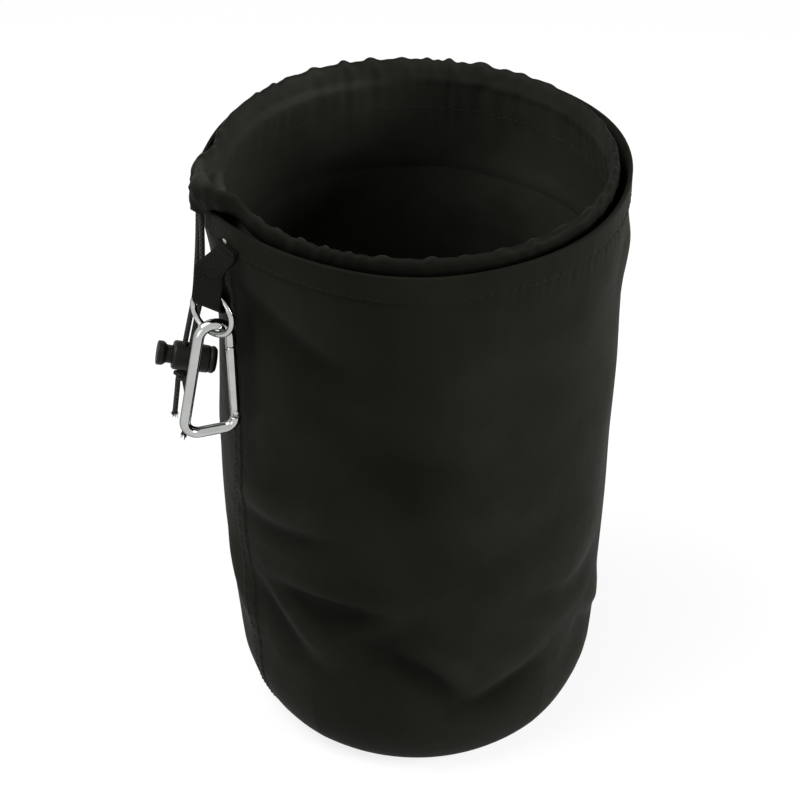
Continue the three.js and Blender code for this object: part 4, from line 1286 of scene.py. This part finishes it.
def slot_object(name, start, end):
    """The slot for the two cords, running up through the barrel"""
    half, round_end = 1.55, 1.4
    outline = []
    near, far, side = start + round_end, end - round_end, half - round_end
    for cx, cy, first in ((far, -side, -90), (far, side, 0), (near, side, 90), (near, -side, 180)):
        for t in np.radians(np.linspace(first, first + 90, 7)):
            outline.append((cx + round_end * math.cos(t), cy + round_end * math.sin(t)))
    count = len(outline)
    points = [(x * MM, y * MM, z * MM) for z in (-14, 14) for x, y in outline]
    faces = [tuple(range(count))[::-1], tuple(range(count, 2 * count))]
    faces += [(i, (i + 1) % count, count + (i + 1) % count, count + i) for i in range(count)]
    mesh = bpy.data.meshes.new(name)
    mesh.from_pydata(points, [], faces)
    return add_object(name, outward(mesh), finish_of("plastic"), shade_smooth=False)


class PEGBAG_OT_lock(bpy.types.Operator):
    """Make the barrel and the plunger of the cord lock"""

    bl_idname = "pegbag.lock"
    bl_label = "Cord lock"

    def execute(self, context):
        plastic = finish_of("plastic")
        origin = from_ear([on_cord(0, 0)])[0] * MM
        axes = lock_axes()
        lie = ((0, 0, -1), (0, 1, 0), (1, 0, 0))
        barrel_profile = rounded([
            (0.0, -14.0), (5.0, -14.0), (6.3, -12.6), (6.3, -11.4), (6.0, -11.1), (6.0, -10.5),
            (6.35, -10.2), (6.75, 5.2), (6.0, 6.2), (4.6, 6.2), (4.6, -12.0), (0.0, -12.0),
        ], 0.5)
        barrel = add_object("lock_barrel_shell", lathe_mesh("lock_barrel_shell", barrel_profile, 56), plastic)
        place(barrel.data, lie, (0, 0, 0))
        cut(barrel, slot_object("barrel_slot", -5.65, 3.05))
        place(barrel.data, axes, origin)
        soften_edges(barrel, 0.00025)
        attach(barrel, "lock")
        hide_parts("lock_barrel")

        plunger_profile = rounded([
            (0.0, -5.4), (4.2, -5.4), (4.2, 8.9), (4.9, 9.6), (5.6, 10.6),
            (5.6, 12.9), (4.9, 13.4), (3.6, 13.0), (2.6, 12.7), (0.0, 12.7),
        ], 0.45)
        plunger_mesh = lathe_mesh("lock_plunger_stem", plunger_profile, 56)
        plunger = add_object("lock_plunger_stem", plunger_mesh, plastic)
        place(plunger.data, lie, (0, 0, 0))
        cut(plunger, slot_object("plunger_slot", -3.05, 5.65))
        place(plunger.data, axes, origin)
        soften_edges(plunger, 0.0002)
        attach(plunger, "plunger")
        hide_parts("lock_plunger")
        return {"FINISHED"}


# Stitches
def stitch_tree():
    """Stitches along a line: spaced points, one rounded stitch on each, turned along the line"""
    tree = bpy.data.node_groups.new("stitch_row", "GeometryNodeTree")
    tree.interface.new_socket("Line", in_out="INPUT", socket_type="NodeSocketGeometry")
    for name, default in (("Spacing", 0.0036), ("Length", 0.0027), ("Thread", 0.0005)):
        socket = tree.interface.new_socket(name, in_out="INPUT", socket_type="NodeSocketFloat")
        socket.default_value = default
    tree.interface.new_socket("Finish", in_out="INPUT", socket_type="NodeSocketMaterial")
    tree.interface.new_socket("Stitches", in_out="OUTPUT", socket_type="NodeSocketGeometry")
    add, join = tree.nodes.new, tree.links.new
    inputs, outputs = add("NodeGroupInput"), add("NodeGroupOutput")
    curve = add("GeometryNodeMeshToCurve")
    spaced = add("GeometryNodeCurveToPoints")
    spaced.mode = "LENGTH"
    ball = add("GeometryNodeMeshUVSphere")
    ball.inputs["Segments"].default_value = 8
    ball.inputs["Rings"].default_value = 5
    ball.inputs["Radius"].default_value = 0.5
    size = add("ShaderNodeCombineXYZ")
    shape = add("GeometryNodeTransform")
    put = add("GeometryNodeInstanceOnPoints")
    real = add("GeometryNodeRealizeInstances")
    paint = add("GeometryNodeSetMaterial")
    join(inputs.outputs["Line"], curve.inputs["Mesh"])
    join(curve.outputs["Curve"], spaced.inputs["Curve"])
    join(inputs.outputs["Spacing"], spaced.inputs["Length"])
    join(inputs.outputs["Thread"], size.inputs["X"])
    join(inputs.outputs["Thread"], size.inputs["Y"])
    join(inputs.outputs["Length"], size.inputs["Z"])
    join(ball.outputs["Mesh"], shape.inputs["Geometry"])
    join(size.outputs[0], shape.inputs["Scale"])
    join(spaced.outputs["Points"], put.inputs["Points"])
    join(shape.outputs["Geometry"], put.inputs["Instance"])
    join(spaced.outputs["Rotation"], put.inputs["Rotation"])
    join(put.outputs["Instances"], real.inputs["Geometry"])
    join(real.outputs["Geometry"], paint.inputs["Geometry"])
    join(inputs.outputs["Finish"], paint.inputs["Material"])
    join(paint.outputs["Geometry"], outputs.inputs["Stitches"])
    return tree


def sew(tree, name, lines, spacing, length, thread, finish):
    """Runs the stitch tree on lines of points in metres and keeps a plain mesh"""
    points, edges = [], []
    for line in lines:
        start = len(points)
        points += [tuple(p) for p in line]
        edges += [(start + k, start + k + 1) for k in range(len(line) - 1)]
    mesh = bpy.data.meshes.new(name)
    mesh.from_pydata(points, edges, [])
    piece = bpy.data.objects.new(name, mesh)
    bpy.context.scene.collection.objects.link(piece)
    modifier = piece.modifiers.new("stitches", "NODES")
    modifier.node_group = tree
    values = {"Spacing": spacing, "Length": length, "Thread": thread, "Finish": finish}
    for item in tree.interface.items_tree:
        if item.in_out == "INPUT" and item.name in values:
            modifier[item.identifier] = values[item.name]
    result = apply_modifiers(piece)
    result.polygons.foreach_set("use_smooth", [True] * len(result.polygons))
    return piece


class PEGBAG_OT_stitches(bpy.types.Operator):
    """Sew the hem, the side seam, the collar, the tab and the bar tack"""

    bl_idname = "pegbag.stitches"
    bl_label = "Stitches"

    def execute(self, context):
        sizes = context.scene.peg_bag_sizes
        creases = sizes.crease_depth
        tree = stitch_tree()
        thread = sizes.thread
        round_all = np.linspace(0, 360, 361)
        hem = wall_place(round_all, np.full(361, 288.5), creases, -0.2)
        rise = np.linspace(5, 284, 280)
        seam_lines = []
        for offset in (-1.2, -6.8):
            angle = SEAM_ANGLE + np.degrees(offset / 93.0)
            seam_lines.append(wall_place(np.full(280, angle), rise, creases, 0.02))
        collar = []
        angles = np.linspace(EAR_ANGLE + 14, EAR_ANGLE + 346, 420)
        for angle, knots in zip(angles, collar_lines(angles, sizes)):
            line = spline_through(knots, 46)
            seat = line[np.argmin(np.abs(line[:24, 1] - (CHANNEL_SEAM + 0.8)))]
            collar.append(polar(seat[0] - 0.34, angle, seat[1]) * MM)
        rows = (
            ("stitches_hem", [hem], sizes.stitch_pitch, sizes.stitch_length, thread, "thread", "wall_cloth"),
            ("stitches_side_seam", seam_lines, 0.0034, 0.0025, thread * 0.9, "thread", "wall_cloth"),
            ("stitches_collar", [collar], 0.0032, 0.0023, thread * 0.8, "thread_inside", "collar_cloth"),
        )
        for name, lines, spacing, length, size, finish, slot in rows:
            piece = sew(tree, name, lines, spacing, length, size, finish_of(finish))
            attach(piece, "bag")
        tack = []
        for k in range(15):
            z = 286.2 + 5.2 * k / 14
            wide = 1.1 if k % 2 else -1.1
            tack.append(wall_place(SEAM_ANGLE - 0.4 + math.degrees(wide / 95.0), np.array(z), creases, 0.12))
        bar = sew(tree, "bar_tack", [np.array(tack)], 0.00042, 0.0013, thread * 1.3, finish_of("tack"))
        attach(bar, "bag")
        box = ((-5.6, 1.2), (5.6, 1.2), (5.6, 7.4), (-5.6, 7.4), (-5.6, 1.2), (5.6, 7.4))
        fine = []
        for (w0, d0), (w1, d1) in zip(box, box[1:]):
            for t in np.linspace(0, 1, 14, endpoint=False):
                fine.append(tab_place(1.3, w0 + (w1 - w0) * t, d0 + (d1 - d0) * t))
        cross = [np.array(fine)]
        crossed = sew(tree, "stitches_tab", cross, 0.0023, 0.0018, thread * 0.85, finish_of("thread"))
        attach(crossed, "bag")
        return {"FINISHED"}


class PEGBAG_PT_panel(bpy.types.Panel):
    """Lists the steps that build the bag"""

    bl_idname = "PEGBAG_PT_panel"
    bl_label = "Peg Bag"
    bl_space_type = "VIEW_3D"
    bl_region_type = "UI"
    bl_category = "Peg Bag"

    def draw(self, context):
        for step in STEPS:
            self.layout.operator(step.bl_idname)
        for group in (context.scene.peg_bag_sizes, context.scene.peg_bag_colours):
            for name in group.bl_rna.properties.keys():
                if name not in {"rna_type", "name"}:
                    self.layout.prop(group, name)


STEPS = (
    PEGBAG_OT_finishes,
    PEGBAG_OT_stage,
    PEGBAG_OT_cords,
    PEGBAG_OT_wall,
    PEGBAG_OT_collar,
    PEGBAG_OT_tab,
    PEGBAG_OT_hardware,
    PEGBAG_OT_lock,
    PEGBAG_OT_stitches,
)
CLASSES = (PegBagSizes, PegBagColours, *STEPS, PEGBAG_PT_panel)


def register():
    for cls in CLASSES:
        bpy.utils.register_class(cls)
    bpy.types.Scene.peg_bag_sizes = PointerProperty(type=PegBagSizes)
    bpy.types.Scene.peg_bag_colours = PointerProperty(type=PegBagColours)


def unregister():
    del bpy.types.Scene.peg_bag_colours
    del bpy.types.Scene.peg_bag_sizes
    for cls in reversed(CLASSES):
        bpy.utils.unregister_class(cls)


def main():
    register()
    bpy.ops.pegbag.finishes()
    bpy.ops.pegbag.stage()
    bpy.ops.pegbag.cords()
    bpy.ops.pegbag.wall()
    bpy.ops.pegbag.collar()
    bpy.ops.pegbag.tab()
    bpy.ops.pegbag.hardware()
    bpy.ops.pegbag.lock()
    bpy.ops.pegbag.stitches()


if __name__ == "__main__":
    main()
